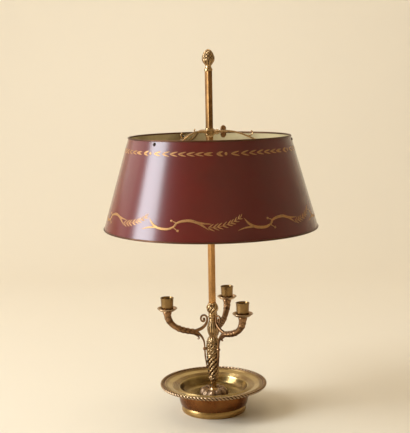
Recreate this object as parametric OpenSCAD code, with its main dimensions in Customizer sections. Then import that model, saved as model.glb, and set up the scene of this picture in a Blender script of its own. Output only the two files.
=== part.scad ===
// Bouillotte lamp: a brass dish on a foot ring, a turned stem with three scroll arms for
// candles, a square mast, and a painted sheet-metal shade that slides on the mast and is
// held by a thumb key. Millimetres, +Z up, origin under the middle of the foot ring.

/* [Shade] */
// Diameter of the shade over its lower rim
shade_bottom_d = 380; // [340:1:400]
// Diameter of the shade over its upper rim
shade_top_d = 287; // [270:1:300]
// Height of the shade
shade_h = 161.5; // [150:0.5:170]
// Height of the shade's lower rim above the table
shade_z = 335.6; // [325:0.1:345]
// Thickness of the shade's sheet metal
sheet_t = 0.8; // [0.6:0.1:1.2]
// Thickness of the wired edge at both rims
rim_wire_d = 3; // [2:0.1:4]

/* [Dish] */
// Diameter of the dish over its rope border
dish_d = 192.6; // [188:0.2:200]
// Thickness of the rope border
border_d = 6; // [5:0.1:7]
// Diameter of the foot ring
foot_d = 116.6; // [112:0.2:118]
// Thickness of the basin's wall and floor
basin_wall = 3.8; // [3:0.1:4.2]

/* [Stem and mast] */
// Width across the flats of the square mast
mast_side = 9.4; // [9:0.1:9.6]
// Height of the top of the mast
mast_top = 609; // [600:1:620]
// Diameter of the tie rod inside the stem
tie_rod_d = 6; // [5:0.1:6]
// Height of the finial above the mast
finial_h = 37.6; // [34:0.1:42]

/* [Candle arms] */
// Distance from the lamp's axis to each candle
arm_reach = 81.5; // [80:0.5:83]
// Bore of a candle cup
cup_bore_d = 20.4; // [19:0.1:20.6]
// Height of a candle cup
cup_h = 23.3; // [20:0.1:26]
// Diameter of a drip pan
pan_d = 36; // [32:0.5:40]

/* [Shade carrier] */
// Height of the carrier's hub
hub_h = 15.5; // [14:0.5:18]
// Diameter of the carrier's hub
hub_d = 16.8; // [16:0.1:18]
// Distance from the mast's axis to the middle of the thumb key's wings
key_reach = 32; // [30:0.5:36]
// Height of the thumb key over both wings
key_span = 22; // [18:0.5:24]

/* [Hidden] */
$fn = 96;

// Directions of the three candle arms and the three carrier arms about the axis
arm_angles = [0, 120, 240];
carrier_angles = [-79, 41, 161];

// Colours
brass = [0.70, 0.52, 0.27];
pale_brass = [0.80, 0.65, 0.38];
dark_brass = [0.52, 0.36, 0.20];
oxblood = [0.42, 0.12, 0.10];
steel = [0.55, 0.55, 0.56];
black_iron = [0.12, 0.11, 0.11];

// Heights of the joints between the stacked pieces
foot_top = 12;
floor_top = 26.2;
floor_bottom = floor_top - basin_wall;
mound_top = 37.4;
spool_top = 56;
pearl_top = 62.6;
vase_top = 136;
baluster_top = 166.4;
collar_top = 179;
knob_top = 198;

// Rod, bores and screws
fit = 0.05;
rod_r = tie_rod_d / 2;
rod_bore_r = rod_r + fit;
washer_t = 1.6;
nut_h = 5;
nut_flats = 10;
rod_end = 13;
socket_depth = 8;

// Dish outline
border_r = border_d / 2;
border_ring_r = dish_d / 2 - border_r;
border_z = 49.4;
flange_r = border_ring_r - 2.7;
flange_t = 2.4;
drum_top = 42.6;
drum_top_r = 63.6;
mouth_r = 60.2;
drum_neck_r = 57.4;

// Candle arm and cup
arm_top = 187;
pan_t = 1.2;
cup_z = arm_top + pan_t;
cup_r = cup_bore_d / 2;
cup_floor_t = 3;
knuckle_z = 114;
vase_face_r = 10.9;
arm_screw_r = 1.45;
cup_screw_r = 1.9;
screw_sink = 1.9;

// Shade cone, on its outer face
shade_top = shade_z + shade_h;
wire_r = rim_wire_d / 2;
cone_bottom_r = shade_bottom_d / 2 - wire_r;
cone_top_r = shade_top_d / 2 - wire_r;
cone_z0 = shade_z + wire_r;
cone_z1 = shade_top - wire_r;
cone_lean = atan((cone_bottom_r - cone_top_r) / (cone_z1 - cone_z0));
shade_screw_drop = 7;
shade_screw_z = shade_top - shade_screw_drop;
shade_screw_r = 1.5;

// Carrier
hub_z = 494.5;
slide_gap = 0.2;
key_z = hub_z + 8.5;
key_shank_r = 2.5;
boss_r = 6.6;
boss_end = 18;
tip_gap = 0.1;

// Points along an arc
function arc(c, r, a0, a1, n) =
    [for (i = [0 : n]) let (a = a0 + (a1 - a0) * i / n) [c[0] + r * cos(a), c[1] + r * sin(a)]];

// One point of a smooth curve between b and c
function curve_point(a, b, c, d, t) =
    0.5 * (2 * b + t * (c - a) + t * t * (2 * a - 5 * b + 4 * c - d)
        + t * t * t * (3 * b - a - 3 * c + d));

// A smooth curve through the points p, with n steps between neighbours
function smooth(p, n) = let (last = len(p) - 1) concat(
    [for (i = [0 : last - 1], k = [0 : n - 1])
        curve_point(p[max(i - 1, 0)], p[i], p[i + 1], p[min(i + 2, last)], k / n)],
    [p[last]]);

// Outer radius of the shade's cone at height z
function cone_r(z) = cone_bottom_r - (z - cone_z0) * tan(cone_lean);

// A turned piece: the smooth outline p from bottom to top, bored for the tie rod
module turned(p, steps = 4, bore = rod_bore_r) {
    outline = smooth(p, steps);
    z0 = p[0][1];
    z1 = p[len(p) - 1][1];
    rotate_extrude()
        polygon(concat([[bore, z0]], outline, [[bore, z1]]));
}

// A bar swept along a path in the XZ plane. Each path point is
// [x, z, half thickness in the plane, half width across it].
module swept_bar(path, sides) {
    n = len(path);
    points = [for (i = [0 : n - 1])
        let (a = path[max(i - 1, 0)], b = path[min(i + 1, n - 1)],
            d = [b[0] - a[0], b[1] - a[1]], t = d / norm(d))
        for (k = [0 : sides - 1])
            let (w = 360 * k / sides)
            [path[i][0] - t[1] * path[i][2] * cos(w),
             path[i][3] * sin(w),
             path[i][1] + t[0] * path[i][2] * cos(w)]];
    near_cap = [[for (k = [0 : sides - 1]) sides - 1 - k]];
    far_cap = [[for (k = [0 : sides - 1]) (n - 1) * sides + k]];
    walls = [for (i = [0 : n - 2], k = [0 : sides - 1])
        let (a = i * sides + k, b = i * sides + (k + 1) % sides)
        each [[a, b, b + sides], [a, b + sides, a + sides]]];
    polyhedron(points, concat(near_cap, walls, far_cap));
}

// A cylinder along +X that starts at distance x0 from the axis
module radial_pin(x0, length, r, fn = 32) {
    translate([x0, 0, 0]) rotate([0, 90, 0]) cylinder(r = r, h = length, $fn = fn);
}

// --- base ---------------------------------------------------------------

// Foot ring with a rounded outer face
module foot_ring() {
    r = foot_d / 2;
    color(pale_brass) rotate_extrude()
        polygon(concat([[r - 6, 0]],
            smooth([[r - 1.6, 0], [r - 0.3, 2.2], [r, 5.5], [r - 0.4, 9], [r - 1.4, foot_top]], 4),
            [[r - 6, foot_top]]));
}

// Basin of the dish: a shallow bowl on a hollow drum, drilled for the tie rod
module dish_basin() {
    outside = smooth([[drum_neck_r, foot_top], [59.6, 12.7], [60.6, 14.6], [61.6, 18], [62.4, 22],
        [63, 30], [drum_top_r, drum_top]], 3);
    inside = smooth([[mouth_r, drum_top], [58.6, 39], [56.4, 34.8], [53.2, 31.4], [48.6, 29],
        [42, 27.4], [34, 26.4], [27, floor_top]], 4);
    underside = smooth([[34, floor_bottom], [44, 23.4], [50.6, 25.2], [54.6, 27.4], [57, 25.6],
        [57.4, 20], [56, 15], [53, foot_top]], 3);
    color(brass) difference() {
        rotate_extrude()
            polygon(concat([[0, floor_bottom]], underside, outside, inside, [[0, floor_top]]));
        translate([0, 0, floor_bottom - 1])
            cylinder(r = rod_bore_r, h = basin_wall + 2, $fn = 48);
    }
}

// Flange of the dish, with two sets of reeding
module dish_flange() {
    edge_z = 47.6;
    reed = 0.8;
    underside = smooth([[65.6, 43.2], [74, 44.6], [83, 46.2], [flange_r, edge_z]], 2);
    outer_reeds = [[87.4, 49.4], [84.4, 48.8]];
    hollow = smooth([[82.4, 48.6], [78.6, 47.7], [74.6, 46.9]], 3);
    inner_reeds = [[72.2, 46.3], [69.4, 45.9], [66.6, 45.6], [63.8, 45.2]];
    lip = smooth([[mouth_r + 2.4, 44.9], [mouth_r + 0.8, 44.2], [mouth_r, drum_top]], 3);
    color(brass) rotate_extrude() polygon(concat(
        [[drum_top_r, drum_top]], underside, [[flange_r, edge_z + flange_t]],
        [for (c = outer_reeds) each arc(c, reed, 20, 160, 4)],
        hollow,
        [for (c = inner_reeds) each arc(c, reed, 20, 160, 4)],
        lip));
}

// Rope border round the rim of the dish
module rope_border() {
    color(dark_brass) rotate_extrude() difference() {
        translate([border_ring_r, border_z]) circle(r = border_r, $fn = 24);
        translate([0, border_z - border_d]) square([flange_r, 2 * border_d]);
    }
}

module tie_rod() {
    color(steel) translate([0, 0, rod_end])
        cylinder(r = rod_r, h = knob_top + 6 - rod_end, $fn = 48);
}

module base_washer() {
    color(steel) translate([0, 0, floor_bottom - washer_t]) difference() {
        cylinder(r = 14, h = washer_t);
        translate([0, 0, -1]) cylinder(r = rod_bore_r, h = washer_t + 2, $fn = 48);
    }
}

module base_nut() {
    color(steel) translate([0, 0, floor_bottom - washer_t - nut_h]) difference() {
        cylinder(r = nut_flats / sqrt(3), h = nut_h, $fn = 6);
        translate([0, 0, -1]) cylinder(r = rod_bore_r, h = nut_h + 2, $fn = 48);
    }
}

// --- stem ---------------------------------------------------------------

// Mound of leaves, hollowed at the top round the spool
module stem_mound() {
    color(dark_brass) turned([[26, floor_top], [25.8, 31], [24.6, 35.4], [21.8, 39], [17.6, 40.8],
        [13, 40], [9.6, mound_top]]);
}

module stem_spool() {
    color(brass) turned([[8.4, mound_top], [6.6, 39.4], [5.8, 42], [5.4, 46], [5.4, 48.8],
        [5.9, 52], [7.4, spool_top]]);
}

// Ring of pearls: a round-edged collar
module pearl_ring() {
    color(brass) turned([[6.6, spool_top], [8.4, 57.4], [8.9, 59.3], [8.4, 61.2],
        [7.8, pearl_top]]);
}

// Vase of the stem, spot-faced and drilled for the three arm screws
module vase() {
    color(brass) difference() {
        turned([[7.8, pearl_top], [8.9, 65], [9.3, 72], [9.9, 82], [10.6, 92], [11.2, 102],
            [11.5, 112], [11.7, 120], [10.9, 127.5], [8.6, 132.6], [6.2, vase_top]]);
        for (a = arm_angles) rotate([0, 0, a]) translate([0, 0, knuckle_z]) {
            radial_pin(vase_face_r, 6, 3.1);
            radial_pin(6.8, 6, arm_screw_r + fit);
        }
    }
}

module baluster() {
    color(brass) turned([[6.2, vase_top], [7.4, 140.4], [9.4, 146.4], [9.9, 151], [9.2, 156],
        [7.4, 162], [6.2, baluster_top]]);
}

module ringed_collar() {
    color(brass) turned([[6.2, baluster_top], [7, 168], [6.5, 169.4], [7.4, 171.2],
        [7.4, 173.4], [6.6, 174.8], [7.5, 176.6], [6.9, collar_top]], 3);
}

// Knob of spiral leaves at the foot of the mast, with a square socket for it
module leaf_knob() {
    color(brass) difference() {
        turned([[6.9, collar_top], [8.2, 182], [10, 186], [10.3, 189], [9.4, 192.6],
            [7.4, 196], [7, knob_top]]);
        translate([0, 0, knob_top - socket_depth / 2])
            cube([mast_side, mast_side, socket_depth + 0.01], center = true);
    }
}

// Square mast, bored for the tie rod below and for the finial's stud above
module mast() {
    z0 = knob_top - socket_depth;
    stud_bore = 12.5;
    color(pale_brass) difference() {
        translate([-mast_side / 2, -mast_side / 2, z0])
            cube([mast_side, mast_side, mast_top - z0]);
        translate([0, 0, z0 - 1]) cylinder(r = rod_bore_r, h = 16, $fn = 48);
        translate([0, 0, mast_top - stud_bore])
            cylinder(r = 2.55, h = stud_bore + 1, $fn = 48);
    }
}

// --- candle arms --------------------------------------------------------

// Branch from under the cup to its low point, and the tail down the stem
branch_tail = smooth([
    [arm_reach, 186.6, 6.8, 6.8], [arm_reach - 0.3, 180, 6.3, 6.3],
    [arm_reach - 1.9, 172, 5.9, 5.9], [arm_reach - 6.5, 164.3, 5.6, 5.6],
    [67.4, 157.3, 5.2, 5.2], [56, 151.6, 4.9, 4.9], [43, 148, 4.7, 4.7],
    [31, 145.4, 4.2, 4.2], [24.4, 141, 2.9, 3.4], [19.4, 135.2, 2.3, 3],
    [16.4, 128, 1.8, 2.8], [15.2, 120, 1.4, 2.6], [14.9, 110, 1.4, 2.6],
    [14.3, 100, 1.6, 2.5], [12.8, 90, 1.5, 2.3], [11.8, 82, 1.1, 1.9]], 3);

// Volute that springs from the low point and curls in beside the stem
volute = smooth([
    [36, 147.4, 2.2, 2.4], [28.5, 148.8, 2.8, 2.8], [21.4, 151.2, 3, 2.6],
    [15.6, 155.2, 2.8, 2.4], [11.4, 160.8, 2.4, 2.2], [9.7, 167, 2, 2],
    [10.6, 172.6, 1.9, 1.9], [14.4, 175.6, 1.8, 1.8], [18.9, 174.8, 1.7, 1.8],
    [21.3, 170.8, 1.7, 1.8], [20.4, 166.4, 1.7, 1.8], [17.2, 164.4, 1.8, 1.8],
    [14.8, 166.2, 1.9, 1.8], [15.4, 169, 2, 1.9]], 3);

module scroll_arm(angle) {
    collar_t = 4.4;
    collar = [[0, arm_top - 9], [6.2, arm_top - 9], [7.6, arm_top - collar_t],
        [7.9, arm_top - 2.4], [7.2, arm_top], [0, arm_top]];
    color(brass) rotate([0, 0, angle]) difference() {
        union() {
            swept_bar(branch_tail, 10);
            swept_bar(volute, 8);
            translate([arm_reach, 0, 0]) rotate_extrude($fn = 48) polygon(collar);
            translate([0, 0, knuckle_z]) radial_pin(vase_face_r, 5.8, 2.7);
        }
        translate([0, 0, knuckle_z]) radial_pin(vase_face_r - 2, 10, arm_screw_r + fit);
        translate([arm_reach, 0, arm_top - 14]) cylinder(r = cup_screw_r + fit, h = 20, $fn = 32);
    }
}

// Round-headed screws that hold the arms to the vase
module arm_screws() {
    color(dark_brass) for (a = arm_angles) rotate([0, 0, a]) translate([0, 0, knuckle_z]) {
        head_x = vase_face_r + 5.8;
        radial_pin(7, head_x - 7, arm_screw_r);
        translate([head_x, 0, 0]) rotate([0, 90, 0])
            rotate_extrude($fn = 32) polygon(concat([[0, 0]], arc([0, -1.5], 3.3, 27, 90, 5)));
    }
}

// Saucer-shaped drip pan with a rounded lip
module drip_pan(angle) {
    r = pan_d / 2;
    lip = 0.9;
    upper = smooth([[11.6, cup_z], [14, 189.4], [r - 2.2, 192]], 3);
    lower = smooth([[r - 1.8, 190.8], [13.6, 187.9], [10.6, arm_top]], 3);
    color(brass) rotate([0, 0, angle]) translate([arm_reach, 0, 0]) difference() {
        rotate_extrude($fn = 72)
            polygon(concat([[0, arm_top], [0, cup_z]], upper,
                arc([r - lip, 192.1], lip, 130, -100, 8), lower));
        translate([0, 0, arm_top - 1]) cylinder(r = cup_screw_r + fit, h = 4, $fn = 32);
    }
}

// Candle cup with a straight bore and a flared mouth
module candle_cup(angle) {
    top = cup_z + cup_h;
    mouth = 1.8;
    outside = smooth([[cup_r + 0.6, cup_z], [cup_r + 0.7, cup_z + 4], [cup_r + 0.9, cup_z + 12],
        [cup_r + 1.2, top - 3], [cup_r + 1.6, top - 0.6]], 3);
    color(pale_brass) rotate([0, 0, angle]) translate([arm_reach, 0, 0]) difference() {
        rotate_extrude($fn = 72)
            polygon(concat([[0, cup_z]], outside, [[cup_r + 1.4, top], [cup_r + 0.8, top]],
                [[cup_r, top - mouth], [cup_r, cup_z + cup_floor_t], [0, cup_z + cup_floor_t]]));
        translate([0, 0, cup_z - 1])
            cylinder(r = cup_screw_r + fit, h = cup_floor_t + 2, $fn = 32);
        translate([0, 0, cup_z + cup_floor_t - screw_sink])
            cylinder(r = 4, h = screw_sink + 1, $fn = 32);
    }
}

// Screws sunk in the floors of the cups, through the pans, into the arms
module cup_screws() {
    z = cup_z + cup_floor_t - screw_sink;
    color(steel) for (a = arm_angles) rotate([0, 0, a]) translate([arm_reach, 0, 0]) {
        translate([0, 0, arm_top - 12]) cylinder(r = cup_screw_r, h = z - arm_top + 12, $fn = 32);
        translate([0, 0, z]) cylinder(r = 3.8, h = screw_sink - 0.1, $fn = 32);
    }
}

// --- shade carrier ------------------------------------------------------

// Hub with a square bore that slides on the mast, and a boss for the thumb key
module carrier_hub() {
    r = hub_d / 2;
    side = mast_side + 2 * slide_gap;
    outline = [[0, hub_z], [r - 2.6, hub_z], [r - 0.5, hub_z + 3], [r, hub_z + 5],
        [r, hub_z + hub_h - 4], [r - 1.2, hub_z + hub_h - 2.2], [r - 1.2, hub_z + hub_h],
        [0, hub_z + hub_h]];
    boss = [[0, 0], [boss_r, 0], [6.2, 8.6], [5, 10.6], [4.2, 13], [4.1, boss_end - 1.4],
        [4.7, boss_end - 1.2], [4.7, boss_end], [0, boss_end]];
    color(brass) difference() {
        union() {
            rotate_extrude() polygon(outline);
            translate([0, 0, key_z]) rotate([-90, 0, 0]) rotate_extrude($fn = 48) polygon(boss);
        }
        translate([-side / 2, -side / 2, hub_z - 1]) cube([side, side, hub_h + 2]);
        translate([0, 0, key_z]) rotate([-90, 0, 0])
            cylinder(r = key_shank_r + fit, h = boss_end + 1, $fn = 48);
    }
}

// Curved arm from the hub to the shade, with a small upturned spur
arm_line = smooth([
    [hub_d / 2 - 1.2, 502.8, 2.6, 3], [22, 504.8, 2.1, 3], [38, 504.4, 1.8, 3],
    [54, 501, 1.7, 3.2], [68, 495.6, 1.7, 3.6], [82, 489.4, 1.7, 4], [96, 485, 1.6, 4.2],
    [112, 482.6, 1.5, 4], [128, 482.4, 1.5, 3.8], [138, 483, 1.4, 3.8],
    [144.4, 483.8, 1.3, 3.8]], 2);
spur_line = smooth([
    [64, 496.8, 0.9, 1.6], [70, 496.6, 1.1, 1.6], [75, 498.6, 1, 1.5], [76.6, 502.4, 0.9, 1.3],
    [74.6, 504.6, 0.7, 1.1]], 2);

module carrier_arm(angle) {
    pad_w = 8.4;
    pad_down = 8.2;
    pad_up = 3.4;
    pad_t = 2.2;
    color(brass) difference() {
        rotate([0, 0, angle]) difference() {
            intersection() {
                union() {
                    swept_bar(arm_line, 8);
                    swept_bar(spur_line, 6);
                    translate([cone_r(shade_screw_z), 0, shade_screw_z])
                        rotate([0, -cone_lean, 0])
                        translate([-sheet_t - pad_t, -pad_w / 2, -pad_down])
                        cube([pad_t + 1, pad_w, pad_down + pad_up]);
                }
                inside_of_shade();
            }
            translate([0, 0, hub_z - 1]) cylinder(r = hub_d / 2, h = hub_h + 2);
            translate([cone_r(shade_screw_z), 0, shade_screw_z])
                rotate([0, 90 - cone_lean, 0])
                translate([0, 0, -8]) cylinder(r = shade_screw_r + fit, h = 10, $fn = 32);
        }
        translate([0, 0, key_z]) rotate([-90, 0, 0])
            cylinder(r = boss_r + fit, h = boss_end, $fn = 48);
    }
}

// --- shade --------------------------------------------------------------

// The space inside the shade's sheet, carried on above its upper rim
module inside_of_shade() {
    t = sheet_t / cos(cone_lean);
    rotate_extrude($fn = 180) polygon([[0, cone_z0], [cone_bottom_r - t, cone_z0],
        [cone_top_r - t, cone_z1], [cone_top_r - t, cone_z1 + 30], [0, cone_z1 + 30]]);
}

module shade_shell() {
    t = sheet_t / cos(cone_lean);
    color(oxblood) difference() {
        rotate_extrude($fn = 180) polygon([[cone_bottom_r - t, cone_z0], [cone_bottom_r, cone_z0],
            [cone_top_r, cone_z1], [cone_top_r - t, cone_z1]]);
        for (a = carrier_angles) rotate([0, 0, a])
            translate([cone_r(shade_screw_z), 0, shade_screw_z]) rotate([0, 90 - cone_lean, 0])
            translate([0, 0, -5]) cylinder(r = shade_screw_r + fit, h = 10, $fn = 32);
    }
}

// Wired edge: a round bead that the sheet's edge is let into
module rim_bead(r, z) {
    t = sheet_t / cos(cone_lean);
    rotate_extrude($fn = 180) difference() {
        translate([r - t / 2, z]) circle(r = wire_r, $fn = 24);
        polygon([[cone_bottom_r - t, cone_z0], [cone_bottom_r, cone_z0],
            [cone_top_r, cone_z1], [cone_top_r - t, cone_z1]]);
    }
}

module shade_top_rim() {
    color(pale_brass) rim_bead(cone_top_r, cone_z1);
}

module shade_bottom_rim() {
    color(pale_brass) rim_bead(cone_bottom_r, cone_z0);
}

module at_shade_screws() {
    for (a = carrier_angles) rotate([0, 0, a])
        translate([cone_r(shade_screw_z), 0, shade_screw_z]) rotate([0, 90 - cone_lean, 0])
        children();
}

// Black round-headed screws through the shade into the carrier arms
module shade_screws() {
    color(black_iron) at_shade_screws() {
        translate([0, 0, -6.6]) cylinder(r = shade_screw_r, h = 6.7, $fn = 32);
        translate([0, 0, 0.05]) rotate_extrude($fn = 32)
            polygon(concat([[0, 0]], arc([0, -1.2], 3, 23.6, 90, 5)));
    }
}

module shade_nuts() {
    flats = 5.5;
    nut_t = 2.2;
    color(steel) at_shade_screws() translate([0, 0, -sheet_t - 2.25 - nut_t]) difference() {
        cylinder(r = flats / sqrt(3), h = nut_t, $fn = 6);
        translate([0, 0, -1]) cylinder(r = shade_screw_r + fit, h = nut_t + 2, $fn = 32);
    }
}

// --- thumb key and finial -----------------------------------------------

// Screw with two round wings; its tip bears on the face of the mast
module thumb_key() {
    lobe_r = key_span / 4 + 0.5;
    wing_t = 3;
    head_y = key_reach - 6;
    tip_y = mast_side / 2 + tip_gap;
    shank = [[0, tip_y], [1.6, tip_y], [key_shank_r, tip_y + 1],
        [key_shank_r, boss_end + 0.3], [4.2, boss_end + 0.3], [4.4, boss_end + 1.6],
        [3, boss_end + 2.8], [2.5, head_y], [3.1, head_y + 2], [2.6, key_reach + 4],
        [0, key_reach + 5.4]];
    color(dark_brass) translate([0, 0, key_z]) {
        rotate([-90, 0, 0]) rotate_extrude($fn = 48) polygon(shank);
        for (s = [-1, 1]) translate([-wing_t / 2, key_reach, s * (key_span / 2 - lobe_r)])
            rotate([0, 90, 0]) cylinder(r = lobe_r, h = wing_t, $fn = 48);
    }
}

// Pine cone on a ringed foot, with a stud that screws into the mast
module finial() {
    z = mast_top;
    k = finial_h / 37.6;
    outline = smooth([[7, z], [7.1, z + 3.2 * k], [5.6, z + 5.6 * k], [5.1, z + 8.6 * k],
        [6.2, z + 11 * k], [8.6, z + 14.4 * k], [10.6, z + 18 * k], [11.2, z + 21.6 * k],
        [10.4, z + 25.6 * k], [8.6, z + 30 * k], [6, z + 34 * k], [2.6, z + 36.8 * k],
        [0, z + 37.6 * k]], 3);
    stud_l = 12;
    color(brass) {
        rotate_extrude() polygon(concat([[0, z]], outline));
        translate([0, 0, z - stud_l]) cylinder(r = 2.5, h = stud_l + 1, $fn = 48);
    }
}

foot_ring();
dish_basin();
dish_flange();
rope_border();
tie_rod();
base_washer();
base_nut();
stem_mound();
stem_spool();
pearl_ring();
vase();
baluster();
ringed_collar();
leaf_knob();
mast();
scroll_arm(arm_angles[0]);  // scroll_arm_1
scroll_arm(arm_angles[1]);  // scroll_arm_2
scroll_arm(arm_angles[2]);  // scroll_arm_3
arm_screws();
drip_pan(arm_angles[0]);  // drip_pan_1
drip_pan(arm_angles[1]);  // drip_pan_2
drip_pan(arm_angles[2]);  // drip_pan_3
candle_cup(arm_angles[0]);  // candle_cup_1
candle_cup(arm_angles[1]);  // candle_cup_2
candle_cup(arm_angles[2]);  // candle_cup_3
cup_screws();
carrier_hub();
carrier_arm(carrier_angles[0]);  // carrier_arm_1
carrier_arm(carrier_angles[1]);  // carrier_arm_2
carrier_arm(carrier_angles[2]);  // carrier_arm_3
shade_shell();
shade_top_rim();
shade_bottom_rim();
shade_screws();
shade_nuts();
thumb_key();
finial();
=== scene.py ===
"""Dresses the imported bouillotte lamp: a dish on a foot ring, a stem with three scroll arms for
candles, a square mast, and a lacquered shade with gilt ornament on a sliding carrier.

Outlines are in millimetres, as (distance from the lamp's axis, height); meshes are in metres.
"""

import math

import bmesh
import bpy
from bpy.props import FloatProperty, FloatVectorProperty, IntProperty, PointerProperty
from mathutils import Matrix, Vector


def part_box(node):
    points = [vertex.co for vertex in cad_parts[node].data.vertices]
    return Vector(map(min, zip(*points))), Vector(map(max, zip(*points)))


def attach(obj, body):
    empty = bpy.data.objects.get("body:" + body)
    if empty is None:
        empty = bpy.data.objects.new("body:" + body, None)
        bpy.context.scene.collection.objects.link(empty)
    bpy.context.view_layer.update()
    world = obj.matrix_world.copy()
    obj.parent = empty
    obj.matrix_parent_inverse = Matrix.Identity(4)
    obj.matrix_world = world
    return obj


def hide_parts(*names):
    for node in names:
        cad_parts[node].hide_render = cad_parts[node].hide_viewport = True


bl_info = {
    "name": "Bouillotte Lamp",
    "version": (1, 0, 0),
    "blender": (4, 5, 0),
    "location": "View3D > Sidebar > Lamp",
    "description": "Dresses the packed lamp with its turned, cast, lacquered and gilt pieces",
    "category": "Add Mesh",
}

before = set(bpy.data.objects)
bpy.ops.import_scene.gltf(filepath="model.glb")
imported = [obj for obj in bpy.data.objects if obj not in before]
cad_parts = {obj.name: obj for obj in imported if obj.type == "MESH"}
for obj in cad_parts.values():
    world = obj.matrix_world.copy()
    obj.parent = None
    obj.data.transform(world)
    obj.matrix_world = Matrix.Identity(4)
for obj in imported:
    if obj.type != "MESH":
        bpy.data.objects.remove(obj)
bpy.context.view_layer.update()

MM = 0.001
TURN = 2 * math.pi

# Heights of the joints between the stacked castings of the stem
FLOOR, MOUND_TOP, SPOOL_TOP, PEARL_TOP = 26.2, 37.4, 56.0, 62.6
VASE_TOP, BALUSTER_TOP, COLLAR_TOP, KNOB_TOP = 136.0, 166.4, 179.0, 198.0
ROD_BORE = 3.05
FOOT_R, FOOT_TOP = 58.3, 12.0
DISH_UNDER = 22.4  # under the bowl's floor
MOUTH = (60.2, 42.6)  # the bowl's mouth, where the flange begins
# Middles of the reeds on the dish's flange: the outer set and the inner set
REEDS = (((87.4, 49.4), (84.4, 48.8)), ((72.2, 46.3), (69.4, 45.9), (66.6, 45.6), (63.8, 45.2)))
REED_R = 0.8

ARM_ANGLES = (0, 120, 240)
ARM_REACH = 81.5
ARM_TOP = 187.0
CUP_Z = 188.2
KNUCKLE_Z, KNUCKLE = 114.0, 5.8  # height and length of the knuckle between an arm and the vase
VASE_FACE = 10.9

CARRIER_ANGLES = (-79, 41, 161)
KEY_Z = 503.0

# The shade's cone, on its outer face: radius and height at its lower and upper rim
CONE = ((188.5, 337.1), (142.0, 495.6))
CONE_LEAN = math.atan((CONE[0][0] - CONE[1][0]) / (CONE[1][1] - CONE[0][1]))
SHEET = 0.8 / math.cos(CONE_LEAN)
RIM_WIRE = 1.5
SHADE_SCREW_Z = 490.1
GILT_REPEATS = 7

# Directions are measured in the row frame, where the camera stands at this azimuth in degrees
CAMERA_AZIMUTH = -40.0


def cone_r(z):
    """Radius of the lacquered face at a height."""
    return CONE[0][0] - (z - CONE[0][1]) * math.tan(CONE_LEAN)


# --- sizes and colours ------------------------------------------------------------------


def size(label, text, value):
    """A length property whose default is given in millimetres."""
    return FloatProperty(
        name=label, description=text, default=value * MM, min=0.0, unit="LENGTH", subtype="DISTANCE"
    )


def number(label, text, value):
    return IntProperty(name=label, description=text, default=value, min=1)


def colour(label, text, value):
    return FloatVectorProperty(
        name=label, description=text, default=value, size=3, min=0.0, max=1.0, subtype="COLOR"
    )


class LampSizes(bpy.types.PropertyGroup):
    """Sizes and counts of the lamp's ornament."""

    rope_lobes: number("Rope lobes", "Lobes round the dish's rope border", 88)
    rope_depth: size("Rope depth", "Depth of the grooves in the rope border", 1.6)
    mound_leaves: number("Mound leaves", "Leaves in each tier of the mound", 11)
    mound_depth: size("Mound depth", "Relief of the mound's leaves", 2.6)
    pearls: number("Pearls", "Pearls in the ring under the vase", 16)
    vase_strands: number("Vase strands", "Spiral leaf strands on the vase", 8)
    vase_depth: size("Vase depth", "Relief of the spiral leaves", 1.5)
    baluster_flutes: number("Baluster flutes", "Flutes round the baluster", 14)
    baluster_depth: size("Baluster depth", "Depth of the baluster's flutes", 0.8)
    knob_lobes: number("Knob lobes", "Spiral lobes of the knob under the mast", 9)
    mast_edge: size("Mast edge", "Width of the bevel on the mast's edges", 0.5)
    gilt_thickness: size("Gilt thickness", "Height of the gilt strokes over the lacquer", 0.12)


class LampColours(bpy.types.PropertyGroup):
    """Colours of the lamp's finishes."""

    # The brass colours are darker and oranger than clean brass: aged brass with a painted reflection
    # of dim, warm surroundings in it.
    aged_bright: colour("Aged brass", "Cast brass on its high spots", (0.56, 0.37, 0.18))
    aged_dark: colour("Tarnish and painted shade", "Cast brass in its hollows", (0.045, 0.018, 0.007))
    arms: colour("Arm brass", "Brown brass of the arms", (0.33, 0.18, 0.085))
    rope: colour("Rope brass", "Rubbed brass of the dish's border", (0.50, 0.34, 0.20))
    mound: colour("Mound brass", "Dull brown brass of the mound's leaves", (0.42, 0.28, 0.17))
    polished: colour("Polished brass", "Foot ring and key", (0.45, 0.28, 0.10))
    cup: colour("Cup brass", "Darkly reflecting brass of the candle cups", (0.27, 0.165, 0.065))
    mast: colour("Mast brass", "Orange brown brass of the mast", (0.54, 0.285, 0.10))
    dish: colour("Dish brass", "Greenish brass of the dish", (0.46, 0.335, 0.135))
    dish_dark: colour("Dish tarnish", "Red brown of the dish's worn polish", (0.11, 0.03, 0.008))
    # Dark end of the bowl's tarnish patches, and of the dark reflection painted on the bowl's wall.
    bowl_tarnish_and_reflection: colour("Bowl tarnish and painted reflection", "Brown of the bowl's wall", (0.10, 0.05, 0.015))
    # The drum's brass is darker and redder than the flange's, which is the same brass: painted shade
    # on the drum's wall.
    drum: colour("Drum brass with painted shade", "Red brown brass of the drum", (0.20, 0.08, 0.024))
    lacquer: colour("Lacquer", "Oxblood lacquer of the shade", (0.140, 0.0085, 0.006))
    cream: colour("Cream paint", "Inside of the shade", (0.88, 0.78, 0.46))
    gilt: colour("Gilding", "Gilt ornament on the lacquer", (0.46, 0.24, 0.09))
    rim: colour("Rim gilding", "Worn brown gilding of the shade's edges", (0.12, 0.055, 0.03))
    iron: colour("Black iron", "Screws of the shade", (0.02, 0.016, 0.014))
    rust: colour("Rust", "Worn edges of the black screws", (0.05, 0.025, 0.015))
    steel: colour("Steel", "Rod, washer and nuts", (0.40, 0.38, 0.35))
    steel_dark: colour("Dull steel", "Rod, washer and nuts in their hollows", (0.16, 0.13, 0.10))
    floor: colour("Floor", "Floor and backdrop", (0.80, 0.71, 0.56))


# --- shader nodes -----------------------------------------------------------------------


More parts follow.
